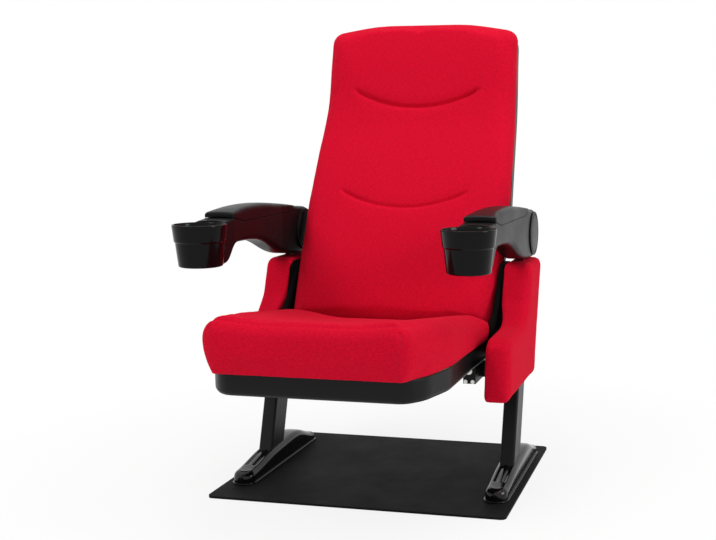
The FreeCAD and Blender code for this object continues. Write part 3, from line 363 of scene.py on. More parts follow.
def coordinates(mesh: bpy.types.Mesh) -> np.ndarray:
    """A mesh's vertices in millimetres, one row each."""
    return gathered(mesh.vertices, "co", 3) / MM


def put_back(mesh: bpy.types.Mesh, points: np.ndarray) -> None:
    """Write vertices given in millimetres."""
    mesh.vertices.foreach_set("co", (points * MM).ravel())
    mesh.update()


def turn_over(mesh: bpy.types.Mesh) -> None:
    """Reflect a mesh across X = 0, with its faces turned to point outwards."""
    put_back(mesh, coordinates(mesh) * (-1, 1, 1))
    mesh.flip_normals()


def mirrored(source: bpy.types.Object, name: str) -> bpy.types.Object:
    """The left-hand copy of a right-hand piece."""
    mesh = source.data.copy()
    turn_over(mesh)
    return linked(name, mesh)


def carry_out(thing: bpy.types.Object) -> None:
    """Make a piece's modifiers part of its mesh."""
    graph = bpy.context.evaluated_depsgraph_get()
    mesh = bpy.data.meshes.new_from_object(thing.evaluated_get(graph), depsgraph=graph)
    thing.modifiers.clear()
    thing.data = mesh
    mesh.polygons.foreach_set("use_smooth", np.ones(len(mesh.polygons), bool))


@dataclass(frozen=True)
class Stuffing:
    """How a padded piece is filled: lengths in millimetres, pressure in the simulation's unit."""

    voxel: float
    cap: float
    pressure: float = 4.0
    frames: int = 20
    relax: int = 4

    def remesh(self, thing: bpy.types.Object) -> None:
        """Give the piece an even mesh of small squares."""
        even_mesh = thing.modifiers.new("even", "REMESH")
        even_mesh.mode = "VOXEL"
        even_mesh.voxel_size = self.voxel * MM
        carry_out(thing)

    def swell(self, thing: bpy.types.Object) -> None:
        """Blow the cover up from inside and keep each point within the cap of where it began."""
        start = coordinates(thing.data)
        cloth = thing.modifiers.new("filling", "CLOTH")
        cloth.settings.quality = 4
        cloth.settings.mass = 0.3
        cloth.settings.use_pressure = True
        cloth.settings.uniform_pressure_force = self.pressure
        cloth.settings.effector_weights.gravity = 0
        cloth.collision_settings.use_collision = False
        cloth.point_cache.frame_start, cloth.point_cache.frame_end = 1, self.frames
        for frame in range(1, self.frames + 1):
            bpy.context.scene.frame_set(frame)
        carry_out(thing)
        move = coordinates(thing.data) - start
        reach = np.maximum(np.linalg.norm(move, axis=1, keepdims=True), 1e-6)
        put_back(thing.data, start + move * np.minimum(1, self.cap / reach))
        bpy.context.scene.frame_set(1)

    def fill(self, thing: bpy.types.Object) -> None:
        """Remesh, swell, relax and subdivide once."""
        self.remesh(thing)
        self.swell(thing)
        relax = thing.modifiers.new("relax", "SMOOTH")
        relax.factor, relax.iterations = 0.5, self.relax
        finer = thing.modifiers.new("finer", "SUBSURF")
        finer.levels = finer.render_levels = 1
        carry_out(thing)


def pressed(mesh: bpy.types.Mesh, path: np.ndarray, deep: np.ndarray, wide: float) -> None:
    """Press a sewn line into a mesh.

    A point sinks along its own normal by the depth of the nearest point of the path times a bell
    of its distance, exp(-(distance / wide) squared).

    Args:
        mesh: the padded piece's mesh.
        path: the line, in millimetres, one row each, a few millimetres apart or less.
        deep: the depth at each point of the path.
        wide: half the line's width.
    """
    points = coordinates(mesh)
    normal = gathered(mesh.vertices, "normal", 3)
    low, high = path.min(0) - 4 * wide, path.max(0) + 4 * wide
    near = np.flatnonzero(((points > low) & (points < high)).all(1))
    for part in np.array_split(near, max(1, len(near) // 4000)):
        gap = np.linalg.norm(points[part, None] - path[None], axis=2)
        best = gap.argmin(1)
        sink = deep[best] * np.exp(-(gap[np.arange(len(part)), best] / wide) ** 2)
        points[part] -= normal[part] * sink[:, None]
    put_back(mesh, points)


def cloth_map(mesh: bpy.types.Mesh) -> None:
    """Lay the cloth's map: a face takes the two axes that its normal leaves free, in metres."""
    corner = gathered(mesh.loops, "vertex_index", kind=int).ravel()
    sides = gathered(mesh.polygons, "loop_total", kind=int).ravel()
    axis = np.repeat(np.abs(gathered(mesh.polygons, "normal", 3)).argmax(1), sides)
    free = np.array([[1, 2], [0, 2], [0, 1]])[axis]
    place = np.take_along_axis(gathered(mesh.vertices, "co", 3)[corner], free, 1)
    layer = mesh.uv_layers.get("cloth") or mesh.uv_layers.new(name="cloth")
    layer.data.foreach_set("uv", place.ravel())


def stitches(name: str, path: np.ndarray, pitch: float, long: float,
             thick: float) -> bpy.types.Object:
    """A row of stitches: each is an ellipsoid drawn out along the path, five rings of six points.

    Args:
        name: the piece's name.
        path: the sewn line, in millimetres.
        pitch: from one stitch to the next.
        long: a stitch's length.
        thick: the thread's thickness.

    Returns:
        The linked object.
    """
    run = np.linalg.norm(np.diff(path, axis=0), axis=1).sum()
    spots = even(path, max(3, int(run / pitch)), closed=False)
    along = np.gradient(spots, axis=0)
    along /= np.linalg.norm(along, axis=1, keepdims=True)
    beside = np.cross(along, [0.3, 0.2, 1.0])
    beside /= np.linalg.norm(beside, axis=1, keepdims=True)
    over = np.cross(along, beside)
    share = np.array([-0.98, -0.6, 0.0, 0.6, 0.98])
    turn = np.radians(np.arange(0, 360, 60))
    girth = np.sqrt(1 - share ** 2)[:, None] * thick / 2
    local = np.stack([np.repeat(share[:, None] * long / 2, 6, 1), girth * np.cos(turn),
                      girth * np.sin(turn)], -1)
    frame = np.stack([along, beside, over], 1)
    points = spots[:, None, None] + np.einsum("ijk,nkl->nijl", local, frame)
    ring = np.arange(4)[:, None] * 6
    here, after = np.arange(6), (np.arange(6) + 1) % 6
    wall = np.stack([ring + here, ring + after, ring + 6 + after, ring + 6 + here],
                    -1).reshape(-1, 4)
    base = (np.arange(len(spots)) * 30)[:, None, None]
    faces = (wall[None] + base).reshape(-1, 4).tolist()
    caps = np.stack([here[::-1], here + 24])
    faces += (caps[None] + base).reshape(-1, 6).tolist()
    return new_piece(name, points.reshape(-1, 3), faces)


class Graph:
    """Places and links the nodes of one tree."""

    def __init__(self, tree: bpy.types.NodeTree) -> None:
        """Start from an empty tree."""
        self.tree = tree
        tree.nodes.clear()

    def add(self, kind: str, **settings: object) -> bpy.types.Node:
        """Place a node and set its properties."""
        node = self.tree.nodes.new(kind)
        for key, value in settings.items():
            setattr(node, key, value)
        return node

    def put(self, value: object, socket: Socket) -> None:
        """Feed a socket from another one, or set its own value."""
        if isinstance(value, bpy.types.NodeSocket):
            self.tree.links.new(value, socket)
        else:
            socket.default_value = value

    def fill(self, sockets: Sockets, values: dict[str, object]) -> None:
        """Feed several sockets by name."""
        for name, value in values.items():
            self.put(value, sockets[name])

    def math(self, operation: str, *values: object, clamp: bool = False) -> Socket:
        """One sum of numbers or sockets."""
        node = self.add("ShaderNodeMath", operation=operation, use_clamp=clamp)
        for value, socket in zip(values, node.inputs):
            self.put(value, socket)
        return node.outputs[0]

    def scaled(self, vector: Socket, factor: Triple) -> Socket:
        """A vector stretched along each axis."""
        node = self.add("ShaderNodeVectorMath", operation="MULTIPLY")
        self.put(vector, node.inputs[0])
        self.put(factor, node.inputs[1])
        return node.outputs[0]

    def noise(self, vector: Socket, scale: object, detail: float = 3.0,
              rough: float = 0.55) -> Socket:
        """A noise value from 0 to 1."""
        node = self.add("ShaderNodeTexNoise")
        self.fill(node.inputs, {"Vector": vector, "Scale": scale, "Detail": detail,
                                "Roughness": rough})
        return node.outputs["Fac"]

    def blend(self, factor: object, first: object, second: object) -> Socket:
        """A mix of two colours."""
        node = self.add("ShaderNodeMix", data_type="RGBA")
        self.put(factor, node.inputs[0])
        self.put(first, node.inputs[6])
        self.put(second, node.inputs[7])
        return node.outputs[2]

    def between(self, value: Socket, low: float, high: float, to_low: float = 0.0,
                to_high: float = 1.0) -> Socket:
        """A value carried from one range into another, and held there."""
        node = self.add("ShaderNodeMapRange", clamp=True)
        for number, part in zip((1, 2, 3, 4), (low, high, to_low, to_high)):
            node.inputs[number].default_value = part
        self.put(value, node.inputs[0])
        return node.outputs[0]

    def effect(self, group: bpy.types.NodeTree, **values: object) -> bpy.types.Node:
        """Place a shared effect with this material's own values."""
        node = self.add("ShaderNodeGroup")
        node.node_tree = group
        self.fill(node.inputs, values)
        return node


class Effect:
    """A shader node group with named inputs and outputs, built once."""

    title = "effect"
    takes: dict[str, tuple[str, object]] = {}
    gives: tuple[str, ...] = ()

    def __init__(self) -> None:
        """Make the group, its sockets and its nodes."""
        self.tree = bpy.data.node_groups.new(self.title, "ShaderNodeTree")
        graph = Graph(self.tree)
        for name, (kind, value) in self.takes.items():
            socket = self.tree.interface.new_socket(name, in_out="INPUT",
                                                    socket_type="NodeSocket" + kind)
            if value is not None:
                socket.default_value = value
        for name in self.gives:
            self.tree.interface.new_socket(name, in_out="OUTPUT", socket_type="NodeSocketFloat")
        entry, leave = graph.add("NodeGroupInput"), graph.add("NodeGroupOutput")
        graph.fill(leave.inputs, self.build(graph, entry.outputs))

    def build(self, graph: Graph, given: Sockets) -> dict[str, Socket]:
        """Place the nodes and return the socket of each output."""
        raise NotImplementedError


class Weave(Effect):
    """Plain weave on a flat map, with the uneven tone of spun yarn.

    Warp and weft are the sines of the map's two axes over the yarn's pitch; where the product of
    the sines is positive the warp is on top, elsewhere the weft.  Each yarn's tone is a noise drawn
    out along that yarn.
    """

    title = "plain weave"
    takes = {"Vector": ("Vector", None), "Pitch": ("Float", 0.0016)}
    gives = ("Height", "Tone", "Patch")

    def build(self, graph: Graph, given: Sockets) -> dict[str, Socket]:
        """Place the weave's nodes."""
        parts = graph.add("ShaderNodeSeparateXYZ")
        graph.put(given["Vector"], parts.inputs[0])
        waves = []
        for axis in (0, 1):
            turn = graph.math("DIVIDE", parts.outputs[axis], given["Pitch"])
            waves.append(graph.math("SINE", graph.math("MULTIPLY", turn, math.pi)))
        sign = graph.math("MULTIPLY", *waves)
        over = graph.math("MULTIPLY_ADD", sign, 4.0, 0.5, clamp=True)
        warp, weft = (graph.math("ABSOLUTE", wave) for wave in waves)
        under = graph.math("SUBTRACT", 1.0, over)
        height = graph.math("ADD", graph.math("MULTIPLY", warp, over),
                            graph.math("MULTIPLY", weft, under))
        long_warp = graph.noise(graph.scaled(given["Vector"], (650.0, 120.0, 1.0)), 1.0, 2.0)
        long_weft = graph.noise(graph.scaled(given["Vector"], (120.0, 650.0, 1.0)), 1.0, 2.0)
        tone = graph.math("ADD", graph.math("MULTIPLY", long_warp, over),
                          graph.math("MULTIPLY", long_weft, under))
        slub = graph.noise(graph.scaled(given["Vector"], (150.0, 330.0, 1.0)), 1.0, 3.0, 0.7)
        return {"Height": height, "Tone": tone, "Patch": slub}


class Grain(Effect):
    """Fine grain and broad mottling of a moulded, painted or rolled surface."""

    title = "surface grain"
    takes = {"Vector": ("Vector", None), "Fine": ("Float", 1600.0), "Broad": ("Float", 9.0)}
    gives = ("Height", "Mottle")

    def build(self, graph: Graph, given: Sockets) -> dict[str, Socket]:
        """Place the grain's nodes."""
        cells = graph.add("ShaderNodeTexVoronoi", feature="SMOOTH_F1")
        graph.put(given["Vector"], cells.inputs["Vector"])
        graph.put(given["Fine"], cells.inputs["Scale"])
        speckle = graph.noise(given["Vector"], given["Fine"], 2.0)
        height = graph.math("MULTIPLY_ADD", cells.outputs["Distance"], 0.6,
                            graph.math("MULTIPLY", speckle, 0.4))
        return {"Height": height, "Mottle": graph.noise(given["Vector"], given["Broad"], 5.0, 0.6)}


class Dust(Effect):
    """Dust that settles on what faces up, in patches."""

    title = "settled dust"
    takes = {"Vector": ("Vector", None), "Facing": ("Vector", None), "Amount": ("Float", 0.1)}
    gives = ("Mask",)

    def build(self, graph: Graph, given: Sockets) -> dict[str, Socket]:
        """Place the dust's nodes."""
        parts = graph.add("ShaderNodeSeparateXYZ")
        graph.put(given["Facing"], parts.inputs[0])
        up = graph.between(parts.outputs[2], 0.55, 0.98)
        patch = graph.between(graph.noise(given["Vector"], 26.0, 6.0, 0.7), 0.42, 0.7)
        return {"Mask": graph.math("MULTIPLY", graph.math("MULTIPLY", up, patch),
                                   given["Amount"])}


class Rub(Effect):
    """Fine rubbed streaks that thin a gloss where hands, shoes and cloths pass."""

    title = "rubbed streaks"
    takes = {"Vector": ("Vector", None), "Amount": ("Float", 0.3)}
    gives = ("Mask",)

    def build(self, graph: Graph, given: Sockets) -> dict[str, Socket]:
        """Place the streaks' nodes."""
        streak = graph.noise(graph.scaled(given["Vector"], (60.0, 420.0, 900.0)), 1.0, 4.0, 0.65)
        where = graph.between(graph.noise(given["Vector"], 7.0, 2.0), 0.4, 0.65)
        line = graph.between(streak, 0.56, 0.72)
        return {"Mask": graph.math("MULTIPLY", graph.math("MULTIPLY", line, where),
                                   given["Amount"])}


@dataclass(frozen=True)
class Effects:
    """The shared effects."""

    weave: Weave = field(default_factory=Weave)
    grain: Grain = field(default_factory=Grain)
    dust: Dust = field(default_factory=Dust)
    rub: Rub = field(default_factory=Rub)


DUST_COLOUR: Colour = (0.36, 0.34, 0.32)
DUST_ROUGHENS = 0.8
RUB_ROUGHENS = 0.5


def shade(colour: Colour, factor: float = 1.0) -> tuple[float, float, float, float]:
    """A linear colour, made lighter or darker, with full cover."""
    return (*(min(1.0, part * factor) for part in colour), 1.0)


@dataclass(frozen=True)
class Finish:
    """What every finish shares: the record's slot, and one shader with a bump."""

    slot: str

    def material(self, effects: Effects) -> bpy.types.Material:
        """Build the material of the finish.

        Args:
            effects: the shared effects.

        Returns:
            The material, named after the slot.
        """
        made = bpy.data.materials.new(self.slot)
        made.use_nodes = True
        graph = Graph(made.node_tree)
        shader, bump = graph.add("ShaderNodeBsdfPrincipled"), graph.add("ShaderNodeBump")
        self.surface(graph, effects, shader.inputs, bump.inputs)
        graph.put(bump.outputs["Normal"], shader.inputs["Normal"])
        graph.put(shader.outputs[0], graph.add("ShaderNodeOutputMaterial").inputs[0])
        return made

    def surface(self, graph: Graph, effects: Effects, shader: Sockets,
                bump: Sockets) -> None:
        """Feed the inputs of the shader and of its bump."""
        raise NotImplementedError


@dataclass(frozen=True)
class Hard(Finish):
    """A plastic, painted, plated or rubber finish."""

    colour: Colour
    rough: float
    metal: float = 0.0
    specular: float = 0.5
    coat: float = 0.0
    coat_rough: float = 0.1
    fine: float = 1600.0
    broad: float = 9.0
    depth: float = 0.00002
    mottle: float = 0.18
    wander: float = 0.06
    dust: float = 0.02
    rub: float = 0.1

    def surface(self, graph: Graph, effects: Effects, shader: Sockets,
                bump: Sockets) -> None:
        """Mottled colour, wandering roughness, grain, dust and rubbed streaks."""
        place = graph.add("ShaderNodeTexCoord").outputs["Object"]
        facing = graph.add("ShaderNodeNewGeometry").outputs["Normal"]
        grain = graph.effect(effects.grain.tree, Vector=place, Fine=self.fine,
                             Broad=self.broad).outputs
        dust = graph.effect(effects.dust.tree, Vector=place, Facing=facing,
                            Amount=self.dust).outputs["Mask"]
        rub = graph.effect(effects.rub.tree, Vector=place, Amount=self.rub).outputs["Mask"]
        tone = graph.blend(grain["Mottle"], shade(self.colour, 1 - self.mottle),
                           shade(self.colour, 1 + self.mottle))
        wander = graph.between(grain["Mottle"], 0.3, 0.7, self.rough - self.wander,
                               self.rough + self.wander)
        rubbed = graph.math("MULTIPLY_ADD", rub, RUB_ROUGHENS, wander)
        graph.fill(shader, {
            "Base Color": graph.blend(dust, tone, shade(DUST_COLOUR)),
            "Roughness": graph.math("MULTIPLY_ADD", dust, DUST_ROUGHENS, rubbed, clamp=True),
            "Metallic": self.metal, "Specular IOR Level": self.specular,
            "Coat Weight": self.coat, "Coat Roughness": self.coat_rough})
        graph.fill(bump, {"Distance": self.depth, "Strength": 0.6, "Height": grain["Height"]})


@dataclass(frozen=True)
class Woven(Finish):
    """The woven upholstery: yarn pitch in metres, linear colours of its darkest and palest yarn."""

    dark: Colour
    pale: Colour
    pitch: float = 0.0016
    depth: float = 0.00035
    rough: float = 0.9
    specular: float = 0.06
    sheen: float = 0.03
    sheen_rough: float = 0.45
    sheen_tint: Colour = (1.0, 0.35, 0.4)

    def surface(self, graph: Graph, effects: Effects, shader: Sockets,
                bump: Sockets) -> None:
        """Colour, roughness and bump from the weave, on the piece's own map; the weave's height
        also paints shade into the colour, darker in the dips between yarns.
        """
        flat = graph.add("ShaderNodeUVMap", uv_map="cloth").outputs[0]
        weave = graph.effect(effects.weave.tree, Vector=flat, Pitch=self.pitch).outputs
        # Painted shade: the weave's height lightens the yarn's crests and darkens its dips, on top
        # of the yarn's own tone.
        tone = graph.math("MULTIPLY_ADD", weave["Height"], 0.25,
                          graph.between(weave["Tone"], 0.3, 0.7, 0.0, 0.75))
        yarn = graph.blend(tone, shade(self.dark), shade(self.pale))
        patch = graph.between(weave["Patch"], 0.35, 0.68, 0.0, 0.42)
        graph.fill(shader, {
            "Base Color": graph.blend(patch, yarn, shade(self.dark, 0.8)),
            "Roughness": graph.between(weave["Tone"], 0.2, 0.8, self.rough + 0.05,
                                       self.rough - 0.07),
            "Specular IOR Level": self.specular, "Sheen Weight": self.sheen,
            "Sheen Roughness": self.sheen_rough, "Sheen Tint": shade(self.sheen_tint)})
        graph.fill(bump, {"Distance": self.depth, "Strength": 0.5, "Height": weave["Height"]})


@dataclass(frozen=True)
class Veneer(Finish):
    """Plywood: pale and dark wood drawn out along X."""

    dark: Colour
    pale: Colour
    rough: float = 0.6
    wander: float = 0.08
    depth: float = 0.0001

    def surface(self, graph: Graph, effects: Effects, shader: Sockets,
                bump: Sockets) -> None:
        """A noise drawn out along the board, and the shared grain."""
        place = graph.add("ShaderNodeTexCoord").outputs["Object"]
        grain = graph.effect(effects.grain.tree, Vector=place, Fine=900.0, Broad=6.0).outputs
        streak = graph.noise(graph.scaled(place, (4.0, 90.0, 90.0)), 1.0, 5.0, 0.65)
        graph.fill(shader, {
            "Base Color": graph.blend(graph.between(streak, 0.3, 0.7), shade(self.dark),
                                      shade(self.pale)),
            "Roughness": graph.between(grain["Mottle"], 0.3, 0.7, self.rough - self.wander,
                                       self.rough + self.wander)})
        graph.fill(bump, {"Distance": self.depth, "Height": streak})


FINISHES = (
    Hard("floor_steel", (0.0105, 0.0105, 0.011), 0.62, specular=0.045, fine=2200, depth=0.00003,
         dust=0.012, rub=0.2),
    Hard("black_steel", (0.006, 0.0065, 0.0075), 0.38, specular=0.14, fine=2600, depth=0.000015,
         dust=0.01, rub=0.15),
    Hard("zinc_steel", (0.62, 0.61, 0.58), 0.3, metal=1.0, fine=1200, mottle=0.12, dust=0.0),
    Hard("foot_gloss", (0.0035, 0.0035, 0.004), 0.15, specular=0.2, coat=0.14, coat_rough=0.06,
         fine=900, depth=0.000006, wander=0.03, dust=0.01, rub=0.2),
    Hard("arm_plastic", (0.0055, 0.0055, 0.006), 0.36, specular=0.08, fine=1500, depth=0.00002,
         dust=0.012, rub=0.2),
    Hard("cup_plastic", (0.003, 0.003, 0.0035), 0.16, specular=0.1, coat=0.04, coat_rough=0.06,
         fine=1300, depth=0.00001, wander=0.04, dust=0.0),
    Hard("dark_plastic", (0.0055, 0.0055, 0.006), 0.38, specular=0.16, fine=1300, depth=0.00003,
         dust=0.01),
    Hard("bush_plastic", (0.74, 0.72, 0.66), 0.45, fine=900, mottle=0.05),
    Hard("black_rubber", (0.011, 0.011, 0.011), 0.7, specular=0.3, fine=700, depth=0.00006),
    Veneer("plywood", (0.34, 0.19, 0.09), (0.58, 0.4, 0.22)),
    Woven("red_fabric", (0.56, 0.0015, 0.018), (0.86, 0.006, 0.038)),
)
THREAD = Hard("red_thread", (0.3, 0.004, 0.012), 0.6, specular=0.3, fine=2400, depth=0.00004,
              dust=0.0, rub=0.0)
# Near-black and almost matte: a black plate, made darker and duller than the plastics to paint the
# shade in the gap between the back and the side panels.
BLACK_LINER_AND_GAP_SHADE = Hard("dark_felt", (0.004, 0.004, 0.0042), 0.85, specular=0.03, fine=1900, depth=0.00005,
            dust=0.0, rub=0.0)


class Palette:
    """Every finish's material, by the record's slot."""

    def __init__(self) -> None:
        """Build the shared effects once, then each finish with its own values."""
        effects = Effects()
        self.made = {one.slot: one.material(effects) for one in (*FINISHES, THREAD, BLACK_LINER_AND_GAP_SHADE)}

    def dress(self, thing: bpy.types.Object, slot: str) -> None:
        """Give a new piece its finish."""
        thing.data.materials.clear()
        thing.data.materials.append(self.made[slot])

    def dress_frame(self, nodes: dict[str, bpy.types.Object]) -> None:
        """Give every CAD node the finish its packed material names."""
        for node in nodes.values():
            slots = {one: one.split(".")[0] for one in (m.name for m in node.data.materials if m)}
            for number, old in enumerate(list(slots)):
                node.data.materials[number] = self.made[slots[old]]


def finish_piece(thing: bpy.types.Object, body: Body, palette: Palette, slot: str,
                 *nodes: str) -> None:
    """Dress a piece, let it ride on its body and stand for its CAD nodes."""
    palette.dress(thing, slot)
    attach(thing, body.value)
    if nodes:
        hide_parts(*nodes)
    LOG.info("%s rides on %s: %d faces", thing.name, body.value, len(thing.data.polygons))


@dataclass
class Upholstered:
    """What every padded piece shares."""

    palette: Palette

    def cover(self, thing: bpy.types.Object, body: Body, *nodes: str) -> None:
        """Map, dress and attach a finished pad, hiding the CAD nodes it stands for."""
        cloth_map(thing.data)
        finish_piece(thing, body, self.palette, "red_fabric", *nodes)

    def sew(self, name: str, path: np.ndarray, body: Body) -> None:
        """Lay a row of stitches along a seam."""
        row = stitches(name, path, pitch=6.5, long=4.2, thick=1.1)
        finish_piece(row, body, self.palette, THREAD.slot)


@dataclass
class SeatCushion(Upholstered):
    """The dished seat: flat front face drawn in below, soft top edge, two bolsters."""

    plan: Corners = (
        (-201, -495, 30), (201, -495, 30), (226, -404, 80), (244, -318, 160), (250, -26, 14),
        (-250, -26, 14), (-244, -318, 160), (-226, -404, 80))
    centre: Pair = (0.0, -260.0)
    low: float = 325.8
    front_y: float = -492.0
    rear_y: float = -26.0
    front_z: float = 434.0
    slope: float = 8.0
    edge: float = 32.0
    rear_edge: float = 12.0
    foot_draw: float = 3.0
    front_draw: float = 14.0
    foot_trim: float = 8.0
    wall_from: float = 3.0
    front_zone: Pair = (-380.0, -486.0)
    rear_zone: Pair = (-110.0, -45.0)
    edge_share: Pair = (0.62, 0.95)
    dish_front: float = 8.0
    dish_rear: float = 8.0
    bolster: Pair = (70.0, 205.0)
    rear_limit: float = -24.5
    seam_x: Pair = (172.0, 12.0)
    seam_y: Pair = (-470.0, 13.0)
    seam_z: Pair = (3.0, 86.0)
    seam_deep: float = 2.6
    crease_in: float = 24.0
    crease_from: float = -432.0
    crease_deep: float = 1.8
    sewn_half: float = 4.0
    stuffing: Stuffing = Stuffing(voxel=6.0, cap=7.0, relax=6)

    def top(self, x: np.ndarray, y: np.ndarray) -> np.ndarray:
        """Height of the top: a slope less a dish, flat in the middle and gone at the sides."""
        along = np.clip((y - self.front_y) / (self.rear_y - self.front_y), 0, 1)
        dish = self.dish_front + self.dish_rear * along
        slope = self.front_z - (y - self.front_y) * math.tan(math.radians(self.slope))
        return slope - dish * (1 - smooth(*self.bolster, np.abs(x)))

    def shape(self) -> bpy.types.Object:
        """Rings of the plan's outline: bottom, wall, quarter-ellipse top edge, then the dish."""
        plan = even(filleted(self.plan, True, 14), 260)
        within, middle = inward(plan), np.array(self.centre)
        front = smooth(*self.front_zone, plan[:, 1])[:, None]
        draw = self.foot_draw + self.front_draw * front
        rings = []

        def add(flat: np.ndarray, height: np.ndarray) -> None:
            rings.append(np.column_stack([flat, np.broadcast_to(height, len(flat))]))

        foot = plan + within * draw
        for share in (0.06, 0.2, 0.4, 0.6, 0.8, 0.93, 0.985):
            add(middle + (foot - middle) * share, self.low - self.foot_trim)
        edge_z = self.top(plan[:, 0], plan[:, 1])
        tall = edge_z - self.low
        behind = smooth(*self.rear_zone, plan[:, 1])
        most, reach = self.edge_share
        soft = np.minimum(self.edge + (self.rear_edge - self.edge) * behind, tall * most)
        for part in np.linspace(0.04, 1, 14):
            lean = draw * (1 - math.sin(part * math.pi / 2))
            start = self.low - self.foot_trim + self.wall_from
            add(plan + within * lean, start + (edge_z - soft - start) * part)
        for turn in np.radians(np.linspace(9, 84, 11)):
            flat = plan + within * (soft * reach * (1 - math.cos(turn)))[:, None]
            add(flat, edge_z - soft + soft * math.sin(turn))
        rim = plan + within * (soft * reach)[:, None]
        for share in (0.97, 0.93, 0.87, 0.8, 0.7, 0.58, 0.45, 0.32, 0.2, 0.08):
            flat = middle + (rim - middle) * share
            add(flat, self.top(flat[:, 0], flat[:, 1]))
        return skin("seat_pad", np.stack(rings))

    def corner_seam(self, side: Side) -> np.ndarray:
        """The sewn line down a front corner, from the top edge to the tray."""
        part = np.linspace(0, 1, 60)
        (foot_x, flare), (foot_y, bulge), (start, tall) = self.seam_x, self.seam_y, self.seam_z
        x = side.value * (foot_x + flare * (1 - (1 - part) ** 1.5))
        y = foot_y - bulge * np.sin(part * math.pi * 0.62) ** 0.8
        return np.stack([x, y, self.low + start + tall * part], 1)

    def crease(self) -> np.ndarray:
        """The sewn line along the top front edge, from side to side, set back from the face."""
        plan = even(filleted(self.plan, True, 14), 900)
        line = plan + inward(plan) * self.crease_in
        line = line[line[:, 1] < self.crease_from]
        line = line[np.argsort(line[:, 0])]
        return np.column_stack([line, self.top(line[:, 0], line[:, 1]) - 2])

    def build(self) -> None:
        """Fill the pad, hold it to the tray's board and clear of the back, and sew it."""
        pad = self.shape()
        self.stuffing.fill(pad)
        points = coordinates(pad.data)
        points[:, 2] = np.maximum(points[:, 2], self.low)
        points[:, 1] = np.minimum(points[:, 1], self.rear_limit)
        put_back(pad.data, points)
        crease = self.crease()
        pressed(pad.data, crease, np.full(len(crease), self.crease_deep), self.sewn_half)
        for side in Side:
            seam = self.corner_seam(side)
            pressed(pad.data, seam, np.full(len(seam), self.seam_deep), self.sewn_half)
            self.sew(f"seat_corner_stitches_{side.word}", self.laid_on(pad, seam), Body.RECLINER)
        self.cover(pad, Body.RECLINER, "seat_cushion")

    @staticmethod
    def laid_on(pad: bpy.types.Object, path: np.ndarray) -> np.ndarray:
        """A path moved on to the pad's surface, by the nearest vertex of the pad."""
        points = coordinates(pad.data)
        near = [np.linalg.norm(points - spot, axis=1).argmin() for spot in path[::3]]
        found = points[near]
        found[1:-1] = (found[:-2] + found[1:-1] * 2 + found[2:]) / 4
        return found


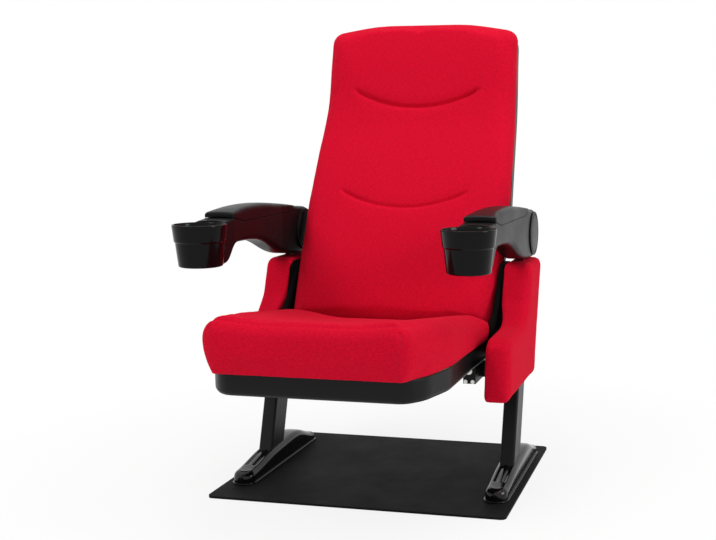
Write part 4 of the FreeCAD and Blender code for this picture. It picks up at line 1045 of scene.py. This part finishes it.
@dataclass
class BackCushion(Upholstered):
    """The leaning back: crowned pad, soft sides, level top with round corners, two channels."""

    outline: Corners = (
        (-243, 335, 20), (243, 335, 20), (250, 470, 300), (253, 600, 300), (249, 720, 300),
        (243, 840, 300), (240, 1019, 32), (120, 1041, 500), (-120, 1041, 500), (-240, 1019, 32),
        (-243, 840, 300), (-249, 720, 300), (-253, 600, 300), (-250, 470, 300))
    middle: Pair = (0.0, 680.0)
    foot: Pair = (290.0, -7.0)
    lean: float = 28.5
    top_lean: float = 11.0
    bend: Pair = (755.0, 875.0)
    front: float = -39.0
    rear: float = 19.6
    wrap: float = 5.0
    wrap_from: Pair = (232.0, 240.0)
    half_limit: float = 250.4
    crown: float = 10.0
    edge: float = 30.0
    rear_edge: float = 7.0
    channels: Line = ((832.0, 11.0), (597.0, 8.0))
    channel_radius: float = 297.0
    channel_turn: float = 33.0
    sewn_half: float = 3.8
    hollow_half: float = 13.0
    hollow_share: float = 0.3
    stuffing: Stuffing = Stuffing(voxel=6.0, cap=8.0, relax=6)

    def line(self, z: np.ndarray) -> np.ndarray:
        """The back's line: straight, then a parabola through the bend, then steeper."""
        low, high = math.tan(math.radians(self.lean)), math.tan(math.radians(self.top_lean))
        start, end = self.bend
        part = np.clip(z, start, end) - start
        y = self.foot[1] + (np.minimum(z, start) - self.foot[0]) * low
        y = y + part * low - (low - high) * part ** 2 / (2 * (end - start))
        return y + np.maximum(0, z - end) * high

    def shape(self) -> bpy.types.Object:
        """Rings of the outline at a depth behind the line: rear, round border, crowned front."""
        loop = even(filleted(self.outline, True, 12), 320)
        behind, face = self.rear + self.wrap + 4, self.front + self.crown
        rows = [(share, self.rear_edge, behind) for share in (0.06, 0.25, 0.45, 0.65, 0.82, 0.93)]
        rows += [(1.0, inset, behind - deep) for inset, deep in quarter(self.rear_edge, 84, 0, 6)]
        rows += [(1.0, inset, face + deep) for inset, deep in quarter(self.edge, 0, 86, 12)]
        rows += [(share, self.edge, face - self.crown * (1 - share ** 4))
                 for share in (0.98, 0.95, 0.9, 0.83, 0.74, 0.62, 0.48, 0.34, 0.2, 0.06)]
        rings = ringed(loop, self.middle, 1, rows)
        rings[..., 1] += self.line(rings[..., 2])
        return skin("back_pad", rings)

    def channel(self, low_z: float) -> np.ndarray:
        """A smiling arc in the leaning face: radius times sine across, one less cosine up."""
        turn = np.radians(np.linspace(-self.channel_turn, self.channel_turn, 260))
        x = self.channel_radius * np.sin(turn)
        rise = self.channel_radius * (1 - np.cos(turn))
        top = self.channel_radius * (1 - math.cos(math.radians(self.channel_turn)))
        span = float(self.line(np.array([low_z + top]))[0] - self.line(np.array([low_z]))[0])
        z = low_z + rise * top / math.hypot(top, span)
        return np.stack([x, self.line(z) + self.front - 3, z], 1)

    def build(self) -> None:
        """Fill the pad, hold its rear to the board and press the channels in."""
        pad = self.shape()
        self.stuffing.fill(pad)
        points = coordinates(pad.data)
        wrap = self.wrap * smooth(*self.wrap_from, np.abs(points[:, 0]))
        points[:, 1] = np.minimum(points[:, 1], self.line(points[:, 2]) + self.rear + wrap)
        points[:, 0] = np.clip(points[:, 0], -self.half_limit, self.half_limit)
        put_back(pad.data, points)
        for low_z, deep in self.channels:
            path = self.channel(low_z)
            spread = np.abs(np.linspace(-1, 1, len(path)))
            hollow = deep * self.hollow_share * (1 - smooth(0.75, 1, spread))
            pressed(pad.data, path, hollow, self.hollow_half)
            pressed(pad.data, path, deep * (1 - smooth(0.86, 1, spread)), self.sewn_half)
        self.cover(pad, Body.RECLINER, "back_cushion")


@dataclass
class SidePanels(Upholstered):
    """The padded side panels: low front, sweeping up to a tall rear, with soft rims."""

    outline: Corners = (
        (-190, 217, 14), (-172, 331, 14), (-146, 347, 12), (-14, 354, 60), (30, 401, 60),
        (60, 474, 10), (74, 481, 10), (205, 481, 12), (111, 217, 14))
    middle: Pair = (60.0, 320.0)
    inner_x: float = 264.3
    outer_x: float = 317.5
    inner_edge: float = 5.0
    outer_edge: float = 13.0
    crown: float = 1.5
    upper_in: float = 9.0
    upper_y: Pair = (-5.0, 45.0)
    upper_z: Pair = (330.0, 392.0)
    stuffing: Stuffing = Stuffing(voxel=4.0, cap=2.5, relax=3)

    def shape(self) -> bpy.types.Object:
        """Rings of the outline from the flat inner face round the rim to the crowned outer face."""
        loop = even(filleted(self.outline, True, 10), 300)
        ahead = np.roll(loop, -1, 0)
        turning = np.sum(loop[:, 0] * ahead[:, 1] - ahead[:, 0] * loop[:, 1])
        loop = loop if turning > 0 else loop[::-1]
        rows = [(share, self.inner_edge, self.inner_x) for share in (0.06, 0.25, 0.5, 0.75, 0.92)]
        rows += [(1.0, inset, self.inner_x + deep)
                 for inset, deep in quarter(self.inner_edge, 82, 0, 5)]
        rows += [(1.0, inset, self.outer_x - self.crown - deep)
                 for inset, deep in quarter(self.outer_edge, 0, 84, 8)]
        rows += [(share, self.outer_edge, self.outer_x - self.crown * share ** 2)
                 for share in (0.95, 0.85, 0.7, 0.5, 0.3, 0.08)]
        return skin("side_pad_right", ringed(loop, self.middle, 0, rows))

    def build(self) -> None:
        """Fill the right-hand pad, flatten it against the liner, thicken it inwards up high and
        mirror it."""
        right = self.shape()
        self.stuffing.fill(right)
        points = coordinates(right.data)
        points[:, 0] = np.maximum(points[:, 0], self.inner_x)
        upper = smooth(*self.upper_y, points[:, 1]) * smooth(*self.upper_z, points[:, 2])
        share = (self.outer_x - points[:, 0]) / (self.outer_x - self.inner_x)
        points[:, 0] -= self.upper_in * upper * np.clip(share, 0, 1)
        put_back(right.data, points)
        left = mirrored(right, "side_pad_left")
        for thing, side in ((right, Side.RIGHT), (left, Side.LEFT)):
            self.cover(thing, Body.STAND, f"panel_pad_{side.word}")


@dataclass
class DarkPlates:
    """A pair of flat near-black plates beside the back, black plates that also paint the shade of
    the gap by the side panels: one rim is square, the other is round.
    """

    palette: Palette
    title: str
    body: Body
    square_x: float
    round_x: float
    edge: float
    middle: Pair
    outline: Corners

    def build(self) -> None:
        """Rings from the square face to the round rim and its face, then the mirror image."""
        way = math.copysign(self.edge, self.square_x - self.round_x)
        rows = [(share, 0.0, self.square_x) for share in (0.1, 0.6, 1.0)]
        rows += [(1.0, self.edge * (1 - math.cos(turn)), self.round_x + way * (1 - math.sin(turn)))
                 for turn in np.radians((0, 30, 60, 88))]
        rows += [(share, self.edge, self.round_x) for share in (0.6, 0.1)]
        loop = even(filleted(self.outline, True, 8), 160)
        right = skin(f"{self.title}_right", ringed(loop, self.middle, 0, rows))
        for thing in (right, mirrored(right, f"{self.title}_left")):
            finish_piece(thing, self.body, self.palette, BLACK_LINER_AND_GAP_SHADE.slot)


def dark_plates(palette: Palette) -> tuple[DarkPlates, DarkPlates]:
    """Liners on the panels' upper inner side, and cheeks over the ends of the back's bars; both are
    near-black and matte, black plates that paint the shade in the gap between the back and the
    panels.
    """
    shields = DarkPlates(palette, "inner_shield", Body.STAND, 257.1, 252.6, 1.6, (70.0, 338.0), (
        (-70, 319, 5), (-60, 337, 5), (0, 344, 40), (33, 384, 40), (60, 462, 9), (78, 471, 9),
        (192, 471, 8), (129, 319, 8)))
    cheeks = DarkPlates(palette, "hinge_cheek", Body.RECLINER, 241.0, 250.9, 2.0, (88.0, 400.0), (
        (-48, 329, 6), (96, 329, 12), (168, 474, 10), (84, 474, 10), (8, 376, 10), (-44, 353, 8)))
    return shields, cheeks


@dataclass
class SeatTray:
    """The moulded tray under the seat: smooth front corners, rounded lower edge, open top."""

    palette: Palette
    plan: Corners = (
        (-182, -451, 44), (182, -451, 44), (212, -412, 90), (234, -330, 120), (236, -14.5, 12),
        (-236, -14.5, 12), (-234, -330, 120), (-212, -412, 90))
    centre: Pair = (0.0, -240.0)
    low: float = 278.0
    high: float = 324.8
    wall: float = 3.5
    edge: float = 11.0

    def build(self) -> None:
        """Rings of the plan: floor, rounded edge, wall, rim, inner wall and inner floor."""
        loop = even(filleted(self.plan, True, 16), 320)
        rows = [(share, self.edge, self.low) for share in (0.08, 0.4, 0.7, 0.9)]
        rows += [(1.0, inset, self.low + deep) for inset, deep in quarter(self.edge, 90, 0, 9)]
        rows += [(1.0, 0.0, height) for height in np.linspace(self.low + 16, self.high - 1.2, 6)]
        rows += [(1.0, 0.4, self.high - 0.4), (1.0, 1.2, self.high), (1.0, 2.4, self.high),
                 (1.0, self.wall, self.high - 0.8), (1.0, self.wall, 300.0),
                 (1.0, self.wall + 2, self.low + self.wall + 1.5)]
        rows += [(share, self.wall + 4, self.low + self.wall) for share in (0.97, 0.6, 0.2, 0.06)]
        tray = skin("seat_tray", ringed(loop, self.centre, 2, rows))
        finish_piece(tray, Body.RECLINER, self.palette, "dark_plastic", "seat_pan")


@dataclass
class FootCovers:
    """The boat-shaped foot covers: round toe, two slots, rising heel, thin lip below."""

    palette: Palette
    centre_x: float = 283.75
    half: float = 24.0
    toe_y: float = -173.0
    rear_y: float = 197.0
    rear_round: float = 12.0
    heel: float = 9.0
    top_line: Line = (
        (-173, 24), (-160, 29.5), (-146, 31.5), (-110, 36), (-60, 44), (-20, 48), (30, 51.5),
        (78, 54), (110, 51), (140, 41), (170, 30), (197, 23))
    base: float = 5.2
    lip_out: float = 3.2
    lip_high: float = 8.2
    slots: Pair = (-9.0, 9.0)
    slot_run: Pair = (-126.0, -44.0)
    slot_deep: float = 4.2
    slot_half: float = 2.6

    def half_at(self, y: np.ndarray, grown: float) -> np.ndarray:
        """Half the plan's width: a half circle at the toe, a blunter round at the rear."""
        full = self.half + grown
        front = np.clip((self.toe_y - grown + full - y) / full, 0, 1)
        rear = np.clip((y - self.rear_y - grown) / self.rear_round + 1, 0, 1)
        return full * np.sqrt(1 - front ** 2) * (1 - 0.35 * rear ** 3) + 0.2

    def form(self, name: str, grown: float, height: np.ndarray | float,
             round_top: float) -> bpy.types.Object:
        """Rounded sections along Y under a height line."""
        start, end = self.toe_y - grown + 0.05, self.rear_y + grown
        y = start + (end - start) * (1 - np.cos(np.linspace(0, math.pi, 190))) / 2
        half = self.half_at(y, grown)
        knots = np.array(self.top_line).T
        top = spline(*knots, y) if height is None else np.full(len(y), height)
        rise = smooth(self.rear_y + grown, self.rear_y + grown - self.heel, y)
        top = self.base + (top - self.base) * np.where(y > self.rear_y - self.heel,
                                                       0.45 + 0.55 * rise, 1)
        rings = rounded_sections(self.centre_x - half, self.centre_x + half,
                                 np.full(len(y), self.base), top, y, np.full(len(y), 0.8),
                                 np.full(len(y), round_top), 1.5 if height is None else 0.0)
        return skin(name, rings)

    def build(self) -> None:
        """Make the right-hand cover and lip, press the slots in, and mirror both."""
        cover = self.form("foot_boat_right", 0.0, None, 11.0)
        part = np.linspace(0, 1, 80)
        y = np.interp(part, (0, 1), self.slot_run)
        top = spline(*np.array(self.top_line).T, y)
        fade = smooth(0, 0.06, part) * smooth(1, 0.94, part)
        for shift in self.slots:
            path = np.stack([np.full(len(y), self.centre_x + shift), y, top + 0.8], 1)
            pressed(cover.data, path, self.slot_deep * fade, self.slot_half)
        lip = self.form("foot_lip_right", self.lip_out, self.lip_high, 1.4)
        pieces = [(cover, Side.RIGHT), (lip, Side.RIGHT),
                  (mirrored(cover, "foot_boat_left"), Side.LEFT),
                  (mirrored(lip, "foot_lip_left"), Side.LEFT)]
        for thing, side in pieces:
            nodes = (f"foot_cover_{side.word}",) if "boat" in thing.name else ()
            finish_piece(thing, Body.STAND, self.palette, "foot_gloss", *nodes)


@dataclass
class ArmRest:
    """One lifting arm with its cover, cup and hub discs; sizes are of the right-hand one."""

    palette: Palette
    side: Side
    pivot: Pair = (149.457, 540.0)
    hub: float = 54.0
    outer_x: float = 306.0
    inner_front_x: float = 239.5
    inner_rear_x: float = 255.0
    lip_y: float = -252.0
    hub_y: float = 20.0
    body_runs: Corners = (
        (-318, -253, 40), (-251.5, -196, 30), (-192, 50, 70), (52, 94, 24), (97, 149, 24))
    cover_runs: Corners = ((-242, -196, 24), (-192, 50, 70), (52, 87, 24))
    ledge: Line = ((-300, 590), (-286, 592.5), (-250, 596), (-240, 595))
    cover_lip: Line = ((-252, 596.4), (-240, 595.4))
    ledge_end: float = -204.0
    top_round: Line = ((-300, 5), (-256, 5), (-250, 1.4), (50, 1.4), (92, 9), (150, 9), (203, 5))
    low_round: Line = ((-318, 4), (-290, 9), (-255, 13), (40, 13), (140, 8), (203, 5))
    crown: Line = ((-300, 1), (-255, 1), (-248, 0), (60, 0), (110, 1.5), (150, 1.5), (203, 0))
    cover_nose: float = 7.5
    cover_round: float = 11.0
    cover_crown: float = 2.2
    seam_z: float = 587.0
    seam_end: float = 52.0
    seam_rise: float = 40.0
    gap: float = 0.6
    underside: Line = (
        (-318, 507.2), (-290, 507.4), (-277, 511), (-268, 519), (-256, 531), (-241, 540),
        (-206, 544.5), (-150, 542.5), (-90, 535), (-45, 521), (-6, 506), (27, 496), (80, 488),
        (120, 486), (149.457, 486))
    topside: Line = (
        (-252, 606.5), (-210, 612), (-150, 615.3), (-80, 615), (0, 609.5), (80, 601.5),
        (128, 595.5), (149.457, 594))
    cup_centre: Pair = (272.0, -335.0)
    cup_room: float = 0.4
    cup_wall: Line = ((507, 41), (557, 46.6), (591, 52))
    cup_profile: Corners = (
        (0.4, 507, 0), (38.4, 507, 0), (42.4, 508.4, 3), (47.6, 555.4, 0.8), (48.7, 556.6, 0.5),
        (49.8, 558.4, 0.8), (53.0, 588.2, 1.4), (52.7, 591, 1.2), (50.4, 591, 1.2), (49.0, 586, 2),
        (46.2, 560.2, 1), (44.2, 557.6, 1), (39.2, 513, 2.5), (37.0, 510.6, 0),
        (0.4, 510.6, 0))
    disc_profile: Corners = (
        (0.4, 0.05, 0), (50, 0.05, 0), (50, 3.0, 1.1), (45.2, 3.0, 0.4), (44.6, 1.5, 0.3),
        (42.6, 1.5, 0.3), (42.0, 3.0, 0.8), (20, 3.4, 0), (0.4, 3.5, 0))

    def name(self, piece: str) -> str:
        """A piece's name on this side."""
        return f"{piece}_{self.side.word}"

    def round_the_hub(self, y: np.ndarray) -> np.ndarray:
        """Half the hub's height at a place behind the pivot."""
        return np.sqrt(np.maximum(self.hub ** 2 - np.maximum(y - self.pivot[0], 0) ** 2, 0.0))

    def edges(self, y: np.ndarray) -> tuple[np.ndarray, np.ndarray]:
        """Underside and top at each place: splines up to the pivot, then the hub's circle."""
        low_y, low_z = np.array(self.underside).T
        high_y, high_z = np.array(self.topside).T
        before = np.minimum(y, self.pivot[0])
        low, high = spline(low_y, low_z, before), spline(high_y, high_z, before)
        behind = y > self.pivot[0]
        round_z = self.round_the_hub(y)
        return (np.where(behind, self.pivot[1] - round_z, low),
                np.where(behind, self.pivot[1] + round_z, high))

    def inner_x(self, y: np.ndarray) -> np.ndarray:
        """The inner side: wide by the cup, drawn in evenly towards the hub."""
        return read_off(((self.lip_y, self.inner_front_x), (self.hub_y, self.inner_rear_x)), y)

    def rising(self, y: np.ndarray) -> np.ndarray:
        """How far the seam has risen from its level run to the top, 0 to 1."""
        return np.clip((y - self.seam_end) / self.seam_rise, 0, 1)

    def round_the_cup(self, rings: np.ndarray) -> np.ndarray:
        """Keep the neck outside the cup: y is at least the cup's rear wall at that x and height."""
        reach = read_off(self.cup_wall, rings[..., 2]) + self.cup_room
        across = np.minimum(np.abs(rings[..., 0] - self.cup_centre[0]), reach)
        wall = self.cup_centre[1] + np.sqrt(reach ** 2 - across ** 2)
        rings[..., 1] = np.maximum(rings[..., 1], wall)
        return rings

    def body(self) -> bpy.types.Object:
        """The arm below its seam: ledge by the cup, arched underside and round hub."""
        turn = np.radians(np.linspace(2, 89, 36))
        y = np.concatenate([np.linspace(*run) for run in self.body_runs]
                           + [self.pivot[0] + self.hub * np.sin(turn)])
        low, high = self.edges(y)
        ledge = read_off((*self.ledge, (self.ledge_end, self.seam_z)), y)
        under_cover, rising = y < self.seam_end, self.rising(y)
        seam = self.seam_z + (high - self.seam_z) * rising
        top = np.where(under_cover, ledge, np.where(rising < 1, np.minimum(seam, high), high))
        rings = rounded_sections(self.inner_x(y), np.full(len(y), self.outer_x), low, top, y,
                                 read_off(self.low_round, y), read_off(self.top_round, y), 1.0)
        rings[..., 2] -= (1.0 - read_off(self.crown, y)[:, None]) * self.lifted(rings, low, top)
        return skin(self.name("arm_moulding"), self.round_the_cup(rings))

    @staticmethod
    def lifted(rings: np.ndarray, low: np.ndarray, top: np.ndarray) -> np.ndarray:
        """How much of a one-millimetre crown a section's points carry."""
        middle_x = (rings[..., 0].min(1) + rings[..., 0].max(1))[:, None] / 2
        wide = (rings[..., 0].max(1) - rings[..., 0].min(1))[:, None] / 2
        middle_z, tall = ((low + top) / 2)[:, None], ((top - low) / 2)[:, None]
        upper = np.clip((rings[..., 2] - middle_z) / np.maximum(tall, 1e-6), 0, 1)
        return (1 - ((rings[..., 0] - middle_x) / wide) ** 2) * upper

    def cover(self) -> bpy.types.Object:
        """The cover above the seam: crowned top, blunt lip in front, thin rear end."""
        front = self.lip_y + np.array([0.0, 0.4, 1.0, 2.0, 3.4, 5.2, 7.5])
        y = np.concatenate([front] + [np.linspace(*run) for run in self.cover_runs])
        _, high = self.edges(y)
        seam = read_off((*self.cover_lip, (self.ledge_end, self.seam_z)), y) + self.gap
        risen = self.seam_z + (high - self.seam_z) * self.rising(y) + self.gap
        low = np.where(y < self.seam_end, seam, risen)
        draw = end_draw(y, self.lip_y, self.cover_nose) * 0.45
        rings = rounded_sections(self.inner_x(y) + draw, self.outer_x - draw, low,
                                 np.maximum(high - draw * 0.8, low + 0.8), y,
                                 np.full(len(y), 1.0), np.full(len(y), self.cover_round),
                                 self.cover_crown)
        return skin(self.name("arm_top"), rings)

    def cup(self) -> bpy.types.Object:
        """The stepped tumbler: its outer wall, rolled rim, inner wall and floor turned as one."""
        profile = filleted(self.cup_profile, False, 6)
        return turned(self.name("cup"), profile, (*self.cup_centre, 0.0), "z", 128)

    def disc(self, piece: str, x: float, way: int) -> bpy.types.Object:
        """A grooved disc on the hub: a profile of radius and depth turned about the pivot."""
        profile = filleted(self.disc_profile, False, 5)
        profile[:, 1] = x + way * profile[:, 1]
        return turned(self.name(piece), profile, (0.0, *self.pivot), "x", 128)

    def build(self) -> None:
        """Make the right-hand pieces, turn them over for the left, and let them ride."""
        word, body = self.side.word, Body.arm(self.side)
        pieces = (
            (self.body(), "arm_plastic", f"arm_body_{word}"),
            (self.cover(), "arm_plastic", f"arm_cover_{word}"),
            (self.cup(), "cup_plastic", f"cup_holder_{word}"),
            (self.disc("hub_disc_outer", self.outer_x, 1), "arm_plastic", f"arm_disc_outer_{word}"),
            (self.disc("hub_disc_inner", self.inner_rear_x, -1), "arm_plastic",
             f"arm_disc_inner_{word}"))
        for thing, slot, node in pieces:
            if self.side is Side.LEFT:
                turn_over(thing.data)
            finish_piece(thing, body, self.palette, slot, node)


@dataclass
class Studio:
    """Pale floor, white surroundings, soft lamps and the photograph's camera; sizes in metres."""

    camera_at: Triple = (0.7395, -2.2251, 0.7628)
    camera_turn: Triple = (82.717, 0.0, 11.738)
    lens: float = 52.79
    sensor: float = 36.0
    shift_x: float = -0.2095
    floor_reach: float = 12.0
    floor_z: float = -0.0004
    floor_white: float = 0.9
    shadow_run: Pair = (0.3, 1.1)
    shadow_least: float = 0.82
    around: float = 0.36
    lamps: tuple[tuple[str, Triple, float, float], ...] = (
        ("key", (-1.5, -2.3, 2.7), 1.6, 42.0), ("fill", (2.7, -0.5, 1.5), 1.2, 30.0),
        ("top", (0.2, 0.1, 3.0), 1.8, 28.0))
    aim: Triple = (0.0, -0.05, 0.5)

    def camera(self) -> None:
        """Place the camera."""
        lens = bpy.data.cameras.new("camera")
        lens.lens, lens.sensor_width, lens.sensor_fit = self.lens, self.sensor, "HORIZONTAL"
        lens.shift_x = self.shift_x
        view = linked("camera", lens)
        view.location = self.camera_at
        view.rotation_euler = [math.radians(turn) for turn in self.camera_turn]
        bpy.context.scene.camera = view

    def white_where_seen(self, graph: Graph) -> Socket:
        """One for rays from the camera, from gloss and through glass."""
        path = graph.add("ShaderNodeLightPath").outputs
        seen = graph.math("MAXIMUM", path["Is Camera Ray"], path["Is Glossy Ray"])
        return graph.math("MAXIMUM", seen, path["Is Transmission Ray"])

    def world(self) -> None:
        """Surroundings that look white and light the object plainly."""
        world = bpy.data.worlds.new("studio")
        world.use_nodes = True
        bpy.context.scene.world = world
        graph = Graph(world.node_tree)
        ground = graph.add("ShaderNodeBackground")
        ground.inputs["Color"].default_value = (1, 1, 1, 1)
        strength = graph.between(self.white_where_seen(graph), 0.0, 1.0, self.around, 1.0)
        graph.put(strength, ground.inputs["Strength"])
        graph.put(ground.outputs[0], graph.add("ShaderNodeOutputWorld").inputs[0])

    def floor(self) -> None:
        """A pale floor that keeps a faint shadow near the object and turns white farther off."""
        side = np.linspace(-self.floor_reach, self.floor_reach, 9)
        x, y = np.meshgrid(side, side)
        points = np.stack([x, y, np.full_like(x, self.floor_z)], -1).reshape(-1, 3) / MM
        row = np.arange(8)[:, None] * 9 + np.arange(8)
        faces = np.stack([row, row + 1, row + 10, row + 9], -1).reshape(-1, 4).tolist()
        plane = new_piece("floor", points, faces)
        made = bpy.data.materials.new("floor")
        made.use_nodes = True
        graph = Graph(made.node_tree)
        place = graph.add("ShaderNodeTexCoord").outputs["Object"]
        far = graph.add("ShaderNodeVectorMath", operation="LENGTH")
        graph.put(place, far.inputs[0])
        diffuse, glow = graph.add("ShaderNodeBsdfDiffuse"), graph.add("ShaderNodeEmission")
        diffuse.inputs["Color"].default_value = shade((self.floor_white,) * 3)
        share = graph.between(far.outputs["Value"], *self.shadow_run, self.shadow_least, 1.0)
        mix = graph.add("ShaderNodeMixShader")
        graph.put(graph.math("MULTIPLY", share, self.white_where_seen(graph)), mix.inputs[0])
        graph.put(diffuse.outputs[0], mix.inputs[1])
        graph.put(glow.outputs[0], mix.inputs[2])
        graph.put(mix.outputs[0], graph.add("ShaderNodeOutputMaterial").inputs[0])
        plane.data.materials.append(made)

    def light(self) -> None:
        """Hang the soft lamps and turn each to the seat."""
        for name, spot, size, power in self.lamps:
            lamp = bpy.data.lights.new(name, "AREA")
            lamp.shape, lamp.size, lamp.energy = "DISK", size, power
            hung = linked(name, lamp)
            hung.location = spot
            way = Vector(self.aim) - Vector(spot)
            hung.rotation_euler = way.to_track_quat("-Z", "Y").to_euler()

    def build(self) -> None:
        """Set the whole studio up."""
        bpy.context.scene.view_settings.view_transform = "Standard"
        self.camera()
        self.world()
        self.floor()
        self.light()


def main() -> None:
    """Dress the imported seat."""
    logging.basicConfig(level=logging.INFO, format="%(message)s")
    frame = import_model()
    Studio().build()
    palette = Palette()
    palette.dress_frame(frame["nodes"])
    SeatCushion(palette).build()
    BackCushion(palette).build()
    SidePanels(palette).build()
    for plates in dark_plates(palette):
        plates.build()
    SeatTray(palette).build()
    FootCovers(palette).build()
    for side in Side:
        ArmRest(palette, side).build()


if __name__ == "__main__":
    main()
